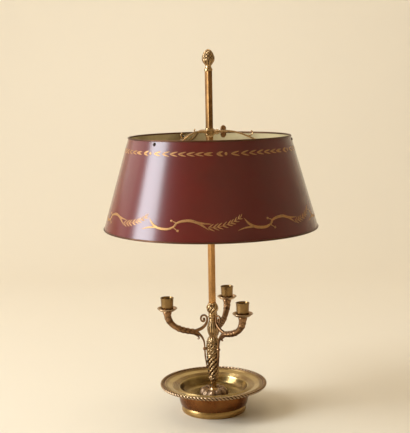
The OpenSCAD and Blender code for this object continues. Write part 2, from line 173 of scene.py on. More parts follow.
def add(tree, kind, links=None, **settings):
    """Adds a shader node; links maps its inputs to sockets or to plain values."""
    node = tree.nodes.new("ShaderNode" + kind)
    for key, value in settings.items():
        setattr(node, key, value)
    set_inputs(tree, node.inputs, links or {})
    return node


def set_inputs(tree, inputs, links):
    """Links or sets inputs by name: a socket is linked, anything else is set."""
    for key, source in links.items():
        if isinstance(source, bpy.types.NodeSocket):
            tree.links.new(source, inputs[key])
        else:
            inputs[key].default_value = source


def maths(tree, operation, a, b=0.0, clamp=False):
    return add(tree, "Math", {0: a, 1: b}, operation=operation, use_clamp=clamp).outputs[0]


def blend_colour(tree, factor, a, b):
    node = add(tree, "Mix", {0: factor, 6: a, 7: b}, data_type="RGBA")
    return node.outputs[2]


def blend_value(tree, factor, a, b):
    node = add(tree, "Mix", {0: factor, 2: a, 3: b}, data_type="FLOAT")
    return node.outputs[0]


def noise(tree, vector, scale, detail=2.0, roughness=0.5):
    links = {"Vector": vector, "Scale": scale, "Detail": detail, "Roughness": roughness}
    return add(tree, "TexNoise", links).outputs["Fac"]


def remap(tree, value, low, high, to_low=0.0, to_high=1.0):
    links = {0: value, 1: low, 2: high, 3: to_low, 4: to_high}
    return add(tree, "MapRange", links).outputs[0]


def rgba(values):
    return (*values, 1.0)


def new_group(name, inputs, outputs):
    """An empty node group: its tree, its input sockets by name, and its output node."""
    tree = bpy.data.node_groups.new(name, "ShaderNodeTree")
    kinds = {"colour": "NodeSocketColor", "value": "NodeSocketFloat"}
    for label, value in inputs.items():
        kind = "colour" if isinstance(value, tuple) else "value"
        socket = tree.interface.new_socket(label, in_out="INPUT", socket_type=kinds[kind])
        socket.default_value = rgba(value) if kind == "colour" else value
    for label, kind in outputs.items():
        tree.interface.new_socket(label, in_out="OUTPUT", socket_type=kinds[kind])
    given = tree.nodes.new("NodeGroupInput").outputs
    return tree, given, tree.nodes.new("NodeGroupOutput").inputs


def tarnish_and_shade_group():
    """Brass that stays bright where it is touched and darkens in patches and in hollows, where the
    darkening is patina and painted shade.
    """
    tree, given, out = new_group(
        "Tarnish and painted shade",
        {"Bright": (0.6, 0.4, 0.2), "Dark": (0.1, 0.05, 0.02), "Hollow": 0.0, "Amount": 0.5,
         "Polish": 0.2, "Matt": 0.5, "Grain": 350.0},
        {"Colour": "colour", "Roughness": "value", "Height": "value"},
    )
    place = add(tree, "TexCoord").outputs["Object"]
    clouds = noise(tree, place, 38.0, 3.0, 0.6)
    grain = noise(tree, place, given["Grain"], 2.0)
    patches = maths(tree, "MULTIPLY", remap(tree, clouds, 0.38, 0.72), given["Amount"])
    specks = maths(tree, "MULTIPLY", remap(tree, grain, 0.5, 0.8), given["Amount"])
    mask = maths(tree, "ADD", given["Hollow"], patches)
    mask = maths(tree, "ADD", mask, maths(tree, "MULTIPLY", specks, 0.6), clamp=True)
    tree.links.new(blend_colour(tree, mask, given["Bright"], given["Dark"]), out["Colour"])
    tree.links.new(blend_value(tree, mask, given["Polish"], given["Matt"]), out["Roughness"])
    tree.links.new(maths(tree, "ADD", grain, clouds), out["Height"])
    return tree


def turning_group():
    """Fine rings left by the lathe and by polishing round the axis."""
    tree, given, out = new_group("Turning marks", {"Spacing": 900.0}, {"Height": "value"})
    place = add(tree, "TexCoord").outputs["Object"]
    parts = add(tree, "SeparateXYZ", {0: place}).outputs
    flat = add(tree, "CombineXYZ", {0: parts[0], 1: parts[1]}).outputs[0]
    radius = add(tree, "VectorMath", {0: flat}, operation="LENGTH").outputs["Value"]
    line = add(tree, "CombineXYZ", {0: radius, 1: parts[2]}).outputs[0]
    tree.links.new(noise(tree, line, given["Spacing"], 3.0, 0.6), out["Height"])
    return tree


def lacquer_group():
    """Old paint: toned down all over, cloudy in depth and lightly freckled."""
    tree, given, out = new_group(
        "Old paint",
        {"Colour": (0.15, 0.02, 0.01), "Stain": (0.05, 0.01, 0.005), "Stain amount": 0.4,
         "Polish": 0.3, "Matt": 0.5},
        {"Colour": "colour", "Roughness": "value", "Height": "value"},
    )
    all_over = 0.8
    place = add(tree, "TexCoord").outputs["Object"]
    clouds = noise(tree, place, 14.0, 4.0, 0.55)
    freckles = noise(tree, place, 420.0, 2.0, 0.6)
    mask = maths(tree, "ADD", remap(tree, freckles, 0.70, 0.78), all_over)
    mask = maths(tree, "ADD", mask, remap(tree, clouds, 0.45, 0.8, 0.0, 0.8))
    mask = maths(tree, "MULTIPLY", mask, given["Stain amount"], clamp=True)
    tree.links.new(blend_colour(tree, mask, given["Colour"], given["Stain"]), out["Colour"])
    tree.links.new(blend_value(tree, mask, given["Polish"], given["Matt"]), out["Roughness"])
    tree.links.new(maths(tree, "ADD", clouds, maths(tree, "MULTIPLY", freckles, 0.05)), out["Height"])
    return tree


def group(name):
    """The shared node group of that name, made the first time it is asked for."""
    makers = {"Tarnish and painted shade": tarnish_and_shade_group, "Turning marks": turning_group, "Old paint": lacquer_group}
    return bpy.data.node_groups.get(name) or makers[name]()


def use_group(tree, name, links):
    node = tree.nodes.new("ShaderNodeGroup")
    node.node_tree = group(name)
    set_inputs(tree, node.inputs, links)
    return node.outputs


def new_material(name):
    material = bpy.data.materials.new(name)
    material.use_nodes = True
    tree = material.node_tree
    return material, tree, tree.nodes["Principled BSDF"]


def bump(tree, height, distance):
    return add(tree, "Bump", {"Height": height, "Distance": distance, "Strength": 1.0}).outputs[0]


def brass(name, bright, dark, amount, polish, matt, grain=350.0, turning=0.0):
    """Brass that is bright, tarnished, turned or rough, by its numbers."""
    material, tree, shader = new_material(name)
    hollow = add(tree, "Attribute", attribute_name="hollow").outputs["Fac"]
    out = use_group(tree, "Tarnish and painted shade", {
        "Bright": rgba(bright), "Dark": rgba(dark), "Hollow": hollow, "Amount": amount,
        "Polish": polish, "Matt": matt, "Grain": grain})
    height = out["Height"]
    if turning:
        rings = use_group(tree, "Turning marks", {"Spacing": 1100.0})["Height"]
        links = {0: rings, 1: turning, 2: out["Height"]}
        height = add(tree, "Math", links, operation="MULTIPLY_ADD").outputs[0]
    set_inputs(tree, shader.inputs, {
        "Base Color": out["Colour"], "Roughness": out["Roughness"], "Metallic": 1.0,
        "Normal": bump(tree, height, 0.00004)})
    return material


def paint(name, tint, stain, amount, polish, matt, relief, gloss):
    """Old paint on the shade's sheet; gloss sets the shader's own sockets."""
    material, tree, shader = new_material(name)
    out = use_group(tree, "Old paint", {
        "Colour": rgba(tint), "Stain": rgba(stain), "Stain amount": amount,
        "Polish": polish, "Matt": matt})
    set_inputs(tree, shader.inputs, {
        "Base Color": out["Colour"], "Roughness": out["Roughness"],
        "Normal": bump(tree, out["Height"], relief), **gloss})
    return material


def gilding(name, gilt):
    """Gilt strokes, worn through to brown in places."""
    material, tree, shader = new_material(name)
    place = add(tree, "TexCoord").outputs["Object"]
    worn = remap(tree, noise(tree, place, 260.0, 3.0, 0.7), 0.50, 0.72)
    broad = noise(tree, place, 60.0, 2.0)
    brown = [0.35 * x for x in gilt]
    set_inputs(tree, shader.inputs, {
        "Base Color": blend_colour(tree, maths(tree, "MULTIPLY", worn, 0.7), rgba(gilt), rgba(brown)),
        "Roughness": remap(tree, broad, 0.3, 0.7, 0.34, 0.52),
        "Metallic": remap(tree, worn, 0.0, 1.0, 0.75, 0.3),
        "Normal": bump(tree, worn, 0.00003)})
    return material


# Each brass and iron finish: its bright and its dark colour, how much it is tarnished, how rough
# it is where it is polished and where it is matt, and the grain or turning marks it has
METALS = {
    "Aged brass": ("aged_bright", "aged_dark", 0.3, 0.22, 0.5, {}),
    "Dark brass": ("arms", "aged_dark", 0.4, 0.27, 0.5, {"grain": 500.0}),
    "Rope brass": ("rope", "aged_dark", 0.3, 0.25, 0.5, {"grain": 500.0}),
    "Mound brass": ("mound", "aged_dark", 0.45, 0.3, 0.5, {"grain": 500.0}),
    "Polished brass": ("polished", "aged_dark", 0.3, 0.3, 0.4, {"turning": 0.6}),
    "Cup brass": ("cup", "aged_dark", 0.35, 0.2, 0.42, {}),
    "Mast brass": ("mast", "aged_dark", 0.4, 0.27, 0.42, {"grain": 600.0}),
    "Dish brass": ("dish", "dish_dark", 0.3, 0.2, 0.4, {"turning": 1.0}),
    "Basin brass": ("dish", "bowl_tarnish_and_reflection", 0.35, 0.17, 0.27, {"turning": 0.5}),
    "Drum brass with painted shade": ("drum", "dish_dark", 0.6, 0.22, 0.34, {"turning": 0.5}),
    "Rim brass": ("rim", "aged_dark", 0.4, 0.34, 0.55, {}),
    "Steel": ("steel", "steel_dark", 0.5, 0.3, 0.5, {}),
    "Black iron": ("iron", "rust", 0.4, 0.35, 0.6, {}),
}


def finish(name):
    """The material of that name, made from the lamp's colours when it is first needed."""
    if name in bpy.data.materials:
        return bpy.data.materials[name]
    c = bpy.context.scene.lamp_colours
    if name in METALS:
        bright, dark, amount, polish, matt, marks = METALS[name]
        return brass(name, getattr(c, bright), getattr(c, dark), amount, polish, matt, **marks)
    if name == "Oxblood lacquer":
        gloss = {"Specular IOR Level": 0.1, "Coat Weight": 1.0, "Coat Roughness": 0.21}
        return paint(name, c.lacquer, (0.05, 0.012, 0.008), 0.35, 0.38, 0.5, 0.0003, gloss)
    if name == "Cream paint":
        return paint(name, c.cream, (0.16, 0.09, 0.03), 0.6, 0.45, 0.6, 0.0004, {})
    if name == "Gilding":
        return gilding(name, c.gilt)
    raise ValueError(f"no finish is named {name!r}")


# --- modelling --------------------------------------------------------------------------


def move_by(x, y, z):
    """A move by so many millimetres."""
    return Matrix.Translation(Vector((x, y, z)) * MM)


def rotation(degrees, axis):
    return Matrix.Rotation(math.radians(degrees), 4, axis)


def start(name, primitive, **settings):
    """Adds a primitive with nothing else selected, and names it."""
    bpy.ops.object.select_all(action="DESELECT")
    primitive(**settings)
    obj = bpy.context.object
    obj.name = obj.data.name = name
    return obj


def edit(obj):
    """Goes into edit mode on obj alone, with all of it selected by its points."""
    bpy.ops.object.select_all(action="DESELECT")
    obj.select_set(True)
    bpy.context.view_layer.objects.active = obj
    bpy.ops.object.mode_set(mode="EDIT")
    bpy.ops.mesh.select_mode(type="VERT")
    bpy.ops.mesh.select_all(action="SELECT")


def close_up(threshold=2e-6, smooth_angle=None):
    """Merges seams and poles, points the faces outwards, smooths them and leaves edit mode."""
    bpy.ops.mesh.select_all(action="SELECT")
    bpy.ops.mesh.remove_doubles(threshold=threshold)
    bpy.ops.mesh.dissolve_degenerate(threshold=1e-8)
    bpy.ops.mesh.select_all(action="SELECT")
    bpy.ops.mesh.normals_make_consistent(inside=False)
    bpy.ops.mesh.faces_shade_smooth()
    bpy.ops.object.mode_set(mode="OBJECT")
    if smooth_angle:
        bpy.ops.object.shade_smooth_by_angle(angle=math.radians(smooth_angle))


def smooth(points, steps):
    """A smooth curve through points, with so many steps between neighbours."""
    last = len(points) - 1
    curve = []
    for i in range(last):
        four = [points[min(max(i + k, 0), last)] for k in (-1, 0, 1, 2)]
        for k in range(steps):
            t = k / steps
            curve.append(tuple(
                0.5 * (2 * b + t * (c - a) + t * t * (2 * a - 5 * b + 4 * c - d)
                       + t ** 3 * (3 * b - a - 3 * c + d))
                for a, b, c, d in zip(*four)))
    return curve + [tuple(points[-1])]


def arc(centre, radius, start_angle, end_angle, steps):
    """Points along an arc, angles in degrees."""
    step = (end_angle - start_angle) / steps
    turns = [math.radians(start_angle + step * i) for i in range(steps + 1)]
    return [(centre[0] + radius * math.cos(a), centre[1] + radius * math.sin(a)) for a in turns]


def turned(name, outline, segments, smooth_angle=40):
    """Spins an outline of (radius, height) points round the axis. A last point that is the
    first one again closes it into a ring; else it starts and ends on the axis."""
    obj = start(name, bpy.ops.mesh.primitive_plane_add, size=MM)
    edit(obj)
    bpy.ops.mesh.merge(type="CENTER")
    at = Vector((0, 0, 0))
    for i, (r, z) in enumerate(outline):
        to = Vector((r, 0, z)) * MM
        if i == 0:
            bpy.ops.transform.translate(value=to)
        else:
            bpy.ops.mesh.extrude_region_move(TRANSFORM_OT_translate={"value": to - at})
        at = to
    bpy.ops.mesh.select_all(action="SELECT")
    bpy.ops.mesh.remove_doubles(threshold=1e-6)
    bpy.ops.mesh.spin(steps=segments, angle=TURN, center=(0, 0, 0), axis=(0, 0, 1))
    close_up(smooth_angle=smooth_angle)
    return obj


def bored(outline):
    """An outline closed into a ring, for castings that the tie rod runs through."""
    first = (ROD_BORE, outline[0][1])
    return [first, *outline, (ROD_BORE, outline[-1][1]), first]


def carve(obj, shape):
    """Moves every point along its normal by what shape(angle, z, r) says, in mm, and keeps how deep in
    a hollow it is, from 0 to 1, for the tarnish, which paints patina and shade into the hollows."""
    mesh = obj.data
    hollow = mesh.attributes.new("hollow", "FLOAT", "POINT")
    moved = []
    for v in mesh.vertices:
        x, y, z = v.co / MM
        lift, depth = shape(math.atan2(y, x), z, math.hypot(x, y))
        moved.append((v.co + v.normal * lift * MM, depth))
    for v, (co, depth) in zip(mesh.vertices, moved):
        v.co = co
        hollow.data[v.index].value = depth
    mesh.update()
    return obj


def wrapped(name, along, around, place, smooth_angle=None):
    """Wraps a grid of faces into a form: place(u, v) gives a point in mm and its hollow."""
    obj = start(name, bpy.ops.mesh.primitive_grid_add,
                x_subdivisions=along, y_subdivisions=around, size=1)
    mesh = obj.data
    hollow = mesh.attributes.new("hollow", "FLOAT", "POINT")
    for v in mesh.vertices:
        point, depth = place(v.co.x + 0.5, v.co.y + 0.5)
        v.co = Vector(point) * MM
        hollow.data[v.index].value = depth
    edit(obj)
    close_up(smooth_angle=smooth_angle)
    return obj


def plain(distance, turn):
    """No relief."""
    return 0.0, 0.0


def swept(name, path, sides, relief=plain, squareness=2.0):
    """A bar along path, in the XZ plane: points (x, z, half thickness, half width) in mm.
    relief(distance, turn) gives the lift in mm and the hollow; turn 0 is the upper face."""
    path = [path[0]] + list(path) + [path[-1]]
    last = len(path) - 1
    distance = [0.0]
    for a, b in zip(path, path[1:]):
        distance.append(distance[-1] + math.dist(a[:2], b[:2]))

    def place(u, v):
        i = round(u * last)
        x, z, thick, wide = path[i]
        if i in (0, last):
            return (x, 0, z), 0.0
        a, b = path[max(i - 1, 1)], path[min(i + 1, last - 1)]
        along = Vector((b[0] - a[0], 0, b[1] - a[1])).normalized()
        up = Vector((-along.z, 0, along.x))
        turn = TURN * v
        c, s = math.cos(turn), math.sin(turn)
        c, s = (math.copysign(abs(q) ** (2 / squareness), q) for q in (c, s))
        out = (up * c / thick + Vector((0, s / wide, 0))).normalized()
        lift, depth = relief(distance[i], turn)
        return Vector((x, wide * s, z)) + up * thick * c + out * lift, depth

    return wrapped(name, last, sides, place)


def join(name, parts):
    """Joins several objects into one."""
    bpy.ops.object.select_all(action="DESELECT")
    for part in parts:
        part.select_set(True)
    bpy.context.view_layer.objects.active = parts[0]
    if len(parts) > 1:
        bpy.ops.object.join()
    parts[0].name = parts[0].data.name = name
    return parts[0]


def place_mesh(obj, matrix):
    """Moves a piece's mesh and leaves its object at the origin."""
    obj.data.transform(matrix)
    obj.data.update()
    return obj


def turned_copy(obj, name, degrees):
    """A copy with its own mesh, turned about the lamp's axis."""
    copy = obj.copy()
    copy.data = obj.data.copy()
    copy.name = copy.data.name = name
    bpy.context.scene.collection.objects.link(copy)
    return place_mesh(copy, rotation(degrees, "Z"))


def sphere(name, centre, radius, squash=(1, 1, 1), segments=24):
    """A ball that is drawn out or flattened, with its mesh in place."""
    obj = start(name, bpy.ops.mesh.primitive_uv_sphere_add,
                segments=segments, ring_count=segments // 2, radius=radius * MM)
    place_mesh(obj, move_by(*centre) @ Matrix.Diagonal((*squash, 1)))
    edit(obj)
    close_up()
    return obj


def dress(obj, material, slot, body, *nodes):
    """Gives a piece its finish and its body, and hides the solids that it stands for."""
    obj.data.materials.clear()
    obj.data.materials.append(finish(material))
    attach(obj, body)
    if nodes:
        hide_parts(*nodes)
    return obj


def cell(angle, count, shift=0.0):
    """Where an angle falls in one of count equal cells: from -1 to 1 across it."""
    return 2 * ((angle / TURN * count + shift) % 1.0) - 1


def ramp(value, low, high):
    """0 below low, 1 above high, and a smooth rise between."""
    t = min(max((value - low) / (high - low), 0.0), 1.0)
    return t * t * (3 - 2 * t)


def fade(value, low, high, margin):
    """1 between low and high, falling to 0 within a margin inside either end."""
    return ramp(value, low, low + margin) * (1 - ramp(value, high - margin, high))


def leaf(u, v, lobes=4, stem=0.3):
    """Relief of one acanthus leaf: u from -1 to 1 across it, v from 0 at its foot to 1 at its
    tip. Gives its height from 0 to 1 and how hollow the place is."""
    if not 0 < v < 1:
        return 0.0, 1.0
    width = (stem + (1 - stem) * math.sin(math.pi * min(v * 0.9 + 0.12, 1.0)) ** 0.7)
    width *= 0.80 + 0.20 * abs(math.sin(math.pi * v * lobes))
    edge = abs(u) / max(width, 1e-3)
    if edge >= 1:
        return 0.0, 1.0
    dome = (1 - edge ** 2.5) ** 0.6
    vein = 0.5 + 0.5 * math.cos(TURN * (v * lobes - 0.5 * abs(u) * lobes * 0.8))
    rib = math.exp(-((u / 0.10) ** 2))
    height = dome * (0.72 + 0.18 * vein) + 0.22 * rib * (1 - v)
    return height, (1 - dome) * 0.8 + 0.25 * (1 - vein) * (1 - rib)


# --- base -------------------------------------------------------------------------------


def make_foot_ring(sizes):
    r = FOOT_R
    outer = smooth([(r - 1.6, 0), (r - 0.3, 2.2), (r, 5.5), (r - 0.4, 9), (r - 1.4, FOOT_TOP)], 6)
    outline = [(r - 6, 0), *outer, (r - 6, FOOT_TOP), (r - 6, 0)]
    ring = turned("foot_ring_polished", outline, 192)
    dress(ring, "Polished brass", "polished_brass", "lamp", "foot_ring")


def make_dish(sizes):
    mouth_r, mouth_z = MOUTH
    face = smooth([(57.4, FOOT_TOP), (59.6, 12.7), (60.6, 14.6), (61.6, 18), (62.4, 22), (63, 30),
                   (63.6, mouth_z)], 6)
    back = smooth([(61.6, mouth_z), (60, 37), (57.8, 31.6), (57, 25.6), (57.4, 20), (56, 15),
                   (53, FOOT_TOP)], 5)
    drum = turned("dish_drum_turned", [*face, *back, face[0]], 192)
    # The drum is coloured darker than the flange: painted shade.
    dress(drum, "Drum brass with painted shade", "dish_brass", "lamp", "dish_basin")
    inner = smooth([MOUTH, (58.6, 39), (56.4, 34.8), (53.2, 31.4), (48.6, 29), (42, 27.4),
                    (34, 26.4), (27, FLOOR)], 10)
    outer = smooth([(34, DISH_UNDER), (44, 23.4), (50.6, 25.2), (56.2, 29), (58.8, 35), (60.4, 39),
                    (61.5, mouth_z)], 5)
    bowl = turned("dish_bowl_turned", [
        (ROD_BORE, DISH_UNDER), *outer, *inner, (ROD_BORE, FLOOR), (ROD_BORE, DISH_UNDER)], 192)

    def painted_bowl_reflection(angle, z, r):
        """The wall of the bowl is painted darkest: a painted reflection of the dark shade above it."""
        return 0.0, 0.5 * fade(z, 28.2, 43.5, 3)

    carve(bowl, painted_bowl_reflection)
    dress(bowl, "Basin brass", "dish_brass", "lamp")
    under = smooth([(65.6, 43.2), (74, 44.6), (83, 46.2), (90.6, 47.6)], 6)
    outer_set, inner_set = ([p for c in group for p in arc(c, REED_R, 10, 170, 6)] for group in REEDS)
    hollow = smooth([(82.4, 48.6), (78.6, 47.7), (74.6, 46.9)], 6)
    lip = smooth([(62.6, 44.9), (61, 44.2), MOUTH], 5)
    outline = [(63.6, mouth_z), *under, (90.6, 50), *outer_set, *hollow, *inner_set, *lip]
    flange = turned("dish_flange_reeded", outline + [outline[0]], 256)

    def reeds(angle, z, r):
        """Darker between the reeds and in the corner under the rope: patina and painted shade."""
        dark = ramp(r, 88.2, 89.4)  # the corner
        for first, last, ridges in ((62.6, 73.8, REEDS[1]), (82.9, 88.9, REEDS[0])):
            if first < r < last and z > 43.6:
                near = min(abs(r - c[0]) for c in ridges)
                dark = max(dark, 0.75 * ramp(near, 0.5, 0.95))
        return 0.0, dark

    carve(flange, reeds)
    dress(flange, "Dish brass", "dish_brass", "lamp", "dish_flange")


def make_rope_border(sizes):
    lobes = sizes.rope_lobes
    depth = sizes.rope_depth / MM
    radius, centre = 3.0, (93.3, 49.4)
    rope = turned("rope_border_twisted", arc(centre, radius, 0, 360, 24), lobes * 12)

    def strand(angle, z, r):
        turn = math.atan2(z - centre[1], r - centre[0])
        crest = abs(math.sin(0.5 * (lobes * angle + 2.2 * turn)))
        # the grooves between the lobes are painted dark: patina and painted shade
        return -depth * (1 - crest ** 0.8), 1 - ramp(crest, 0.25, 0.9)

    carve(rope, strand)
    dress(rope, "Rope brass", "dark_brass", "lamp", "rope_border")


# --- stem -------------------------------------------------------------------------------


def make_mound(sizes):
    count = sizes.mound_leaves
    depth = sizes.mound_depth / MM
    profile = smooth([(26, FLOOR), (25.8, 31), (24.6, 35.4), (21.8, 39), (17.6, 40.8), (13, 40),
                      (9.6, MOUND_TOP)], 14)
    mound = turned("stem_mound_leaves", bored(profile), 288, smooth_angle=None)
    run = [0.0]
    for a, b in zip(profile, profile[1:]):
        run.append(run[-1] + math.dist(a, b))

    def along(z, r):
        """How far up the mound's face a place is: 0 at the dish, 1 at the spool."""
        nearest = min(range(len(profile)), key=lambda i: math.dist(profile[i], (r, z)))
        return run[nearest] / run[-1]

    places = {}

    def leaves(angle, z, r):
        if r < 9.4 or z < FLOOR + 0.2:
            return 0.0, 0.0
        key = (round(r, 2), round(z, 2))
        if key not in places:
            places[key] = along(z, r)
        v = places[key]
        lift, dark = leaf(cell(angle, count), v * 1.02, 6)
        back, back_dark = leaf(cell(angle, count, 0.5), v * 1.2 - 0.04, 5)
        # where the back tier shows between the front leaves it is painted darker: painted shade under
        # the front tier
        if back * 0.5 > lift:
            lift, dark = back * 0.5, 0.55 + 0.45 * back_dark
        hold = (1 - ramp(v, 0.93, 0.99)) * ramp(z, FLOOR + 0.2, FLOOR + 1.0)
        return depth * (lift - 0.85) * hold, dark * hold

    carve(mound, leaves)
    dress(mound, "Mound brass", "dark_brass", "lamp", "stem_mound")


def make_spool(sizes):
    outline = smooth([(8.4, MOUND_TOP), (6.6, 39.4), (5.8, 42), (5.4, 46), (5.4, 48.8), (5.9, 52),
                      (7.4, SPOOL_TOP)], 8)
    spool = turned("stem_spool_turned", bored(outline), 96)
    dress(spool, "Aged brass", "aged_brass", "lamp", "stem_spool")


def make_pearl_ring(sizes):
    count = sizes.pearls
    base, z_middle, pearl = 7.3, 59.3, 1.6
    low = smooth([(6.6, SPOOL_TOP), (7.7, 56.7), (base, 57.4)], 4)
    band = [(base, 57.4 + 0.2 * i) for i in range(1, 20)]
    outline = low + band + smooth([(base, 61.3), (8.1, 61.9), (7.8, PEARL_TOP)], 4)
    ring = turned("pearl_ring_beaded", bored(outline), count * 18, smooth_angle=50)

    def pearls(angle, z, r):
        if r < 7:
            return 0.0, 0.0
        across = cell(angle, count) * math.pi * 8.4 / count
        span = pearl ** 2 - across ** 2 - (z - z_middle) ** 2
        return (math.sqrt(span), 0.0) if span > 0 else (0.0, 0.9 * fade(z, 56.8, 61.8, 0.6))

    carve(ring, pearls)
    dress(ring, "Aged brass", "aged_brass", "lamp", "pearl_ring")


def make_vase(sizes):
    strands = sizes.vase_strands
    depth = sizes.vase_depth / MM
    outline = smooth([
        (7.8, PEARL_TOP), (8.9, 65), (9.3, 72), (9.9, 82), (10.6, 92), (11.2, 102), (11.5, 112),
        (11.7, 120), (10.9, 127.5), (8.6, 132.6), (6.2, VASE_TOP)], 18)
    vase = turned("vase_spiral_leaves", bored(outline), 288, smooth_angle=50)
    twist = 0.085  # radians for each millimetre of height
    pitch = 4.4  # of the lobes along a leaf
    leaves_top, band_top = 101, 128

    def relief(angle, z, r):
        if r < 5.5 or not PEARL_TOP + 0.1 < z < VASE_TOP - 0.1:
            return 0.0, 0.0
        if z < leaves_top:  # spiral leaves
            u = cell(angle - twist * z, strands)
            lobe = z + (1.1 if u > 0 else -1.1)
            width = 0.44 + 0.46 * abs(math.sin(math.pi * lobe / pitch)) ** 0.8
            edge = abs(u) / width
            hold = fade(z, 63.2, leaves_top, 2.5)
            if edge < 1:
                rib = math.exp(-((u / 0.09) ** 2))
                vein = 0.5 + 0.5 * math.cos(TURN * (lobe / pitch + 0.5))
                lift = (1 - edge ** 2.4) ** 0.55 * (0.74 + 0.16 * vein) + 0.2 * rib
                return depth * (lift - 0.45) * hold, (0.5 * edge ** 3 + 0.22 * (1 - vein)) * hold
            return -0.45 * depth * hold, 0.95 * hold
        if z < band_top:  # band between two fillets, its dimples painted dark as painted shadow so that they look pierced
            fillet = max(math.exp(-((z - q) / 0.75) ** 2) for q in (102.4, 126.2))
            row = 109.4 if z < 114.3 else 119.4
            u = cell(angle, 12, 0.25) * math.pi * 11.5 / 12
            d = math.hypot(u, (z - row) * 0.62)
            ring = math.exp(-((d - 2.0) / 0.62) ** 2)
            hole = math.exp(-(d / 1.05) ** 2)
            lift = 0.85 * fillet + (0.75 * ring - 0.95 * hole - 0.25) * (1 - fillet)
            return lift, min(1.0, 0.95 * hole + 0.55 * (1 - ring) * (1 - fillet) * (1 - hole))
        u = cell(angle, 12, 0.25)  # shoulder of short leaves
        v = (z - band_top) / (VASE_TOP - band_top)
        lift, dark = leaf(u, v * 0.9, 2, stem=0.8)
        hold = fade(z, band_top, VASE_TOP, 1.0)
        return 0.75 * (lift - 0.4) * hold, dark * 0.8 * hold

    carve(vase, relief)
    dress(vase, "Aged brass", "aged_brass", "lamp", "vase")


def make_baluster(sizes):
    count = sizes.baluster_flutes
    depth = sizes.baluster_depth / MM
    outline = smooth([
        (6.2, VASE_TOP), (7.4, 140.4), (9.4, 146.4), (9.9, 151), (9.2, 156), (7.4, 162),
        (6.2, BALUSTER_TOP)], 14)
    baluster = turned("baluster_fluted", bored(outline), count * 18, smooth_angle=50)

    def flutes(angle, z, r):
        if r < 5.5:
            return 0.0, 0.0
        u = abs(cell(angle, count))
        groove = ramp(u, 0.45, 0.95)
        hold = fade(z, VASE_TOP + 1.2, BALUSTER_TOP - 0.6, 3.0)
        leafy = fade(z, 136, 147, 2.0) * (1 - ramp(abs(cell(angle, count, 0.5)) * 9, 4, 8))
        return depth * (0.25 - groove) * hold + 0.35 * leafy, 0.9 * groove * hold

    carve(baluster, flutes)
    dress(baluster, "Aged brass", "aged_brass", "lamp", "baluster")


def make_collar(sizes):
    outline = smooth([
        (6.2, BALUSTER_TOP), (7, 168), (6.5, 169.4), (7.4, 171.2), (7.4, 173.4), (6.6, 174.8),
        (7.5, 176.6), (6.9, COLLAR_TOP)], 8)
    collar = turned("ringed_collar_beaded", bored(outline), 192, smooth_angle=50)

    def beads(angle, z, r):
        if r < 5.5 or not 170.4 < z < 174.4:
            return 0.0, 0.0
        hold = fade(z, 170.4, 174.4, 1.2)
        notch = ramp(abs(cell(angle, 12)), 0.5, 1.0)
        return (0.35 - 0.75 * notch) * hold, 0.9 * notch * hold

    carve(collar, beads)
    dress(collar, "Aged brass", "aged_brass", "lamp", "ringed_collar")


def make_knob(sizes):
    count = sizes.knob_lobes
    socket = 190.0
    outline = smooth([
        (6.9, COLLAR_TOP), (8.2, 182), (10, 186), (10.3, 189), (9.4, 192.6), (7.4, 196),
        (6.85, KNOB_TOP)], 10)
    ring = [(ROD_BORE, COLLAR_TOP), *outline, (4.4, KNOB_TOP), (4.4, socket), (ROD_BORE, socket),
            (ROD_BORE, COLLAR_TOP)]
    knob = turned("leaf_knob_spiral", ring, count * 24, smooth_angle=50)

    def lobes(angle, z, r):
        if r < 6 or not COLLAR_TOP + 0.1 < z < KNOB_TOP - 0.1:
            return 0.0, 0.0
        u = cell(angle - 0.075 * (z - COLLAR_TOP), count)
        groove = ramp(abs(u), 0.35, 1.0)
        vein = math.exp(-((u / 0.12) ** 2)) * 0.2
        hold = fade(z, COLLAR_TOP, KNOB_TOP, 3.0)
        return (0.45 - 1.5 * groove + vein) * hold, 0.95 * groove ** 1.5 * hold

    carve(knob, lobes)
    dress(knob, "Aged brass", "aged_brass", "lamp", "leaf_knob")


def make_mast(sizes):
    low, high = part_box("mast")
    painted_dark_from, painted_dark_to = 470.0, 500.0  # from here up, above the shade, the mast is painted darker: painted shade that dims its reflection
    mast = start("mast_square_bar", bpy.ops.mesh.primitive_cube_add, size=1)
    place_mesh(mast, Matrix.Translation((low + high) / 2) @ Matrix.Diagonal((*(high - low), 1)))
    edit(mast)
    bpy.ops.mesh.bevel(offset=sizes.mast_edge, segments=3, affect="EDGES")
    for height in (painted_dark_from, painted_dark_to):
        bpy.ops.mesh.select_all(action="SELECT")
        bpy.ops.mesh.bisect(plane_co=(0, 0, height * MM), plane_no=(0, 0, 1))
    close_up(smooth_angle=40)
    # painted shade: the mast darkens from 470 mm up
    carve(mast, lambda angle, z, r: (0.0, 0.45 * ramp(z, painted_dark_from, painted_dark_to)))
    dress(mast, "Mast brass", "polished_brass", "lamp", "mast")


# --- candle arms ------------------------------------------------------------------------

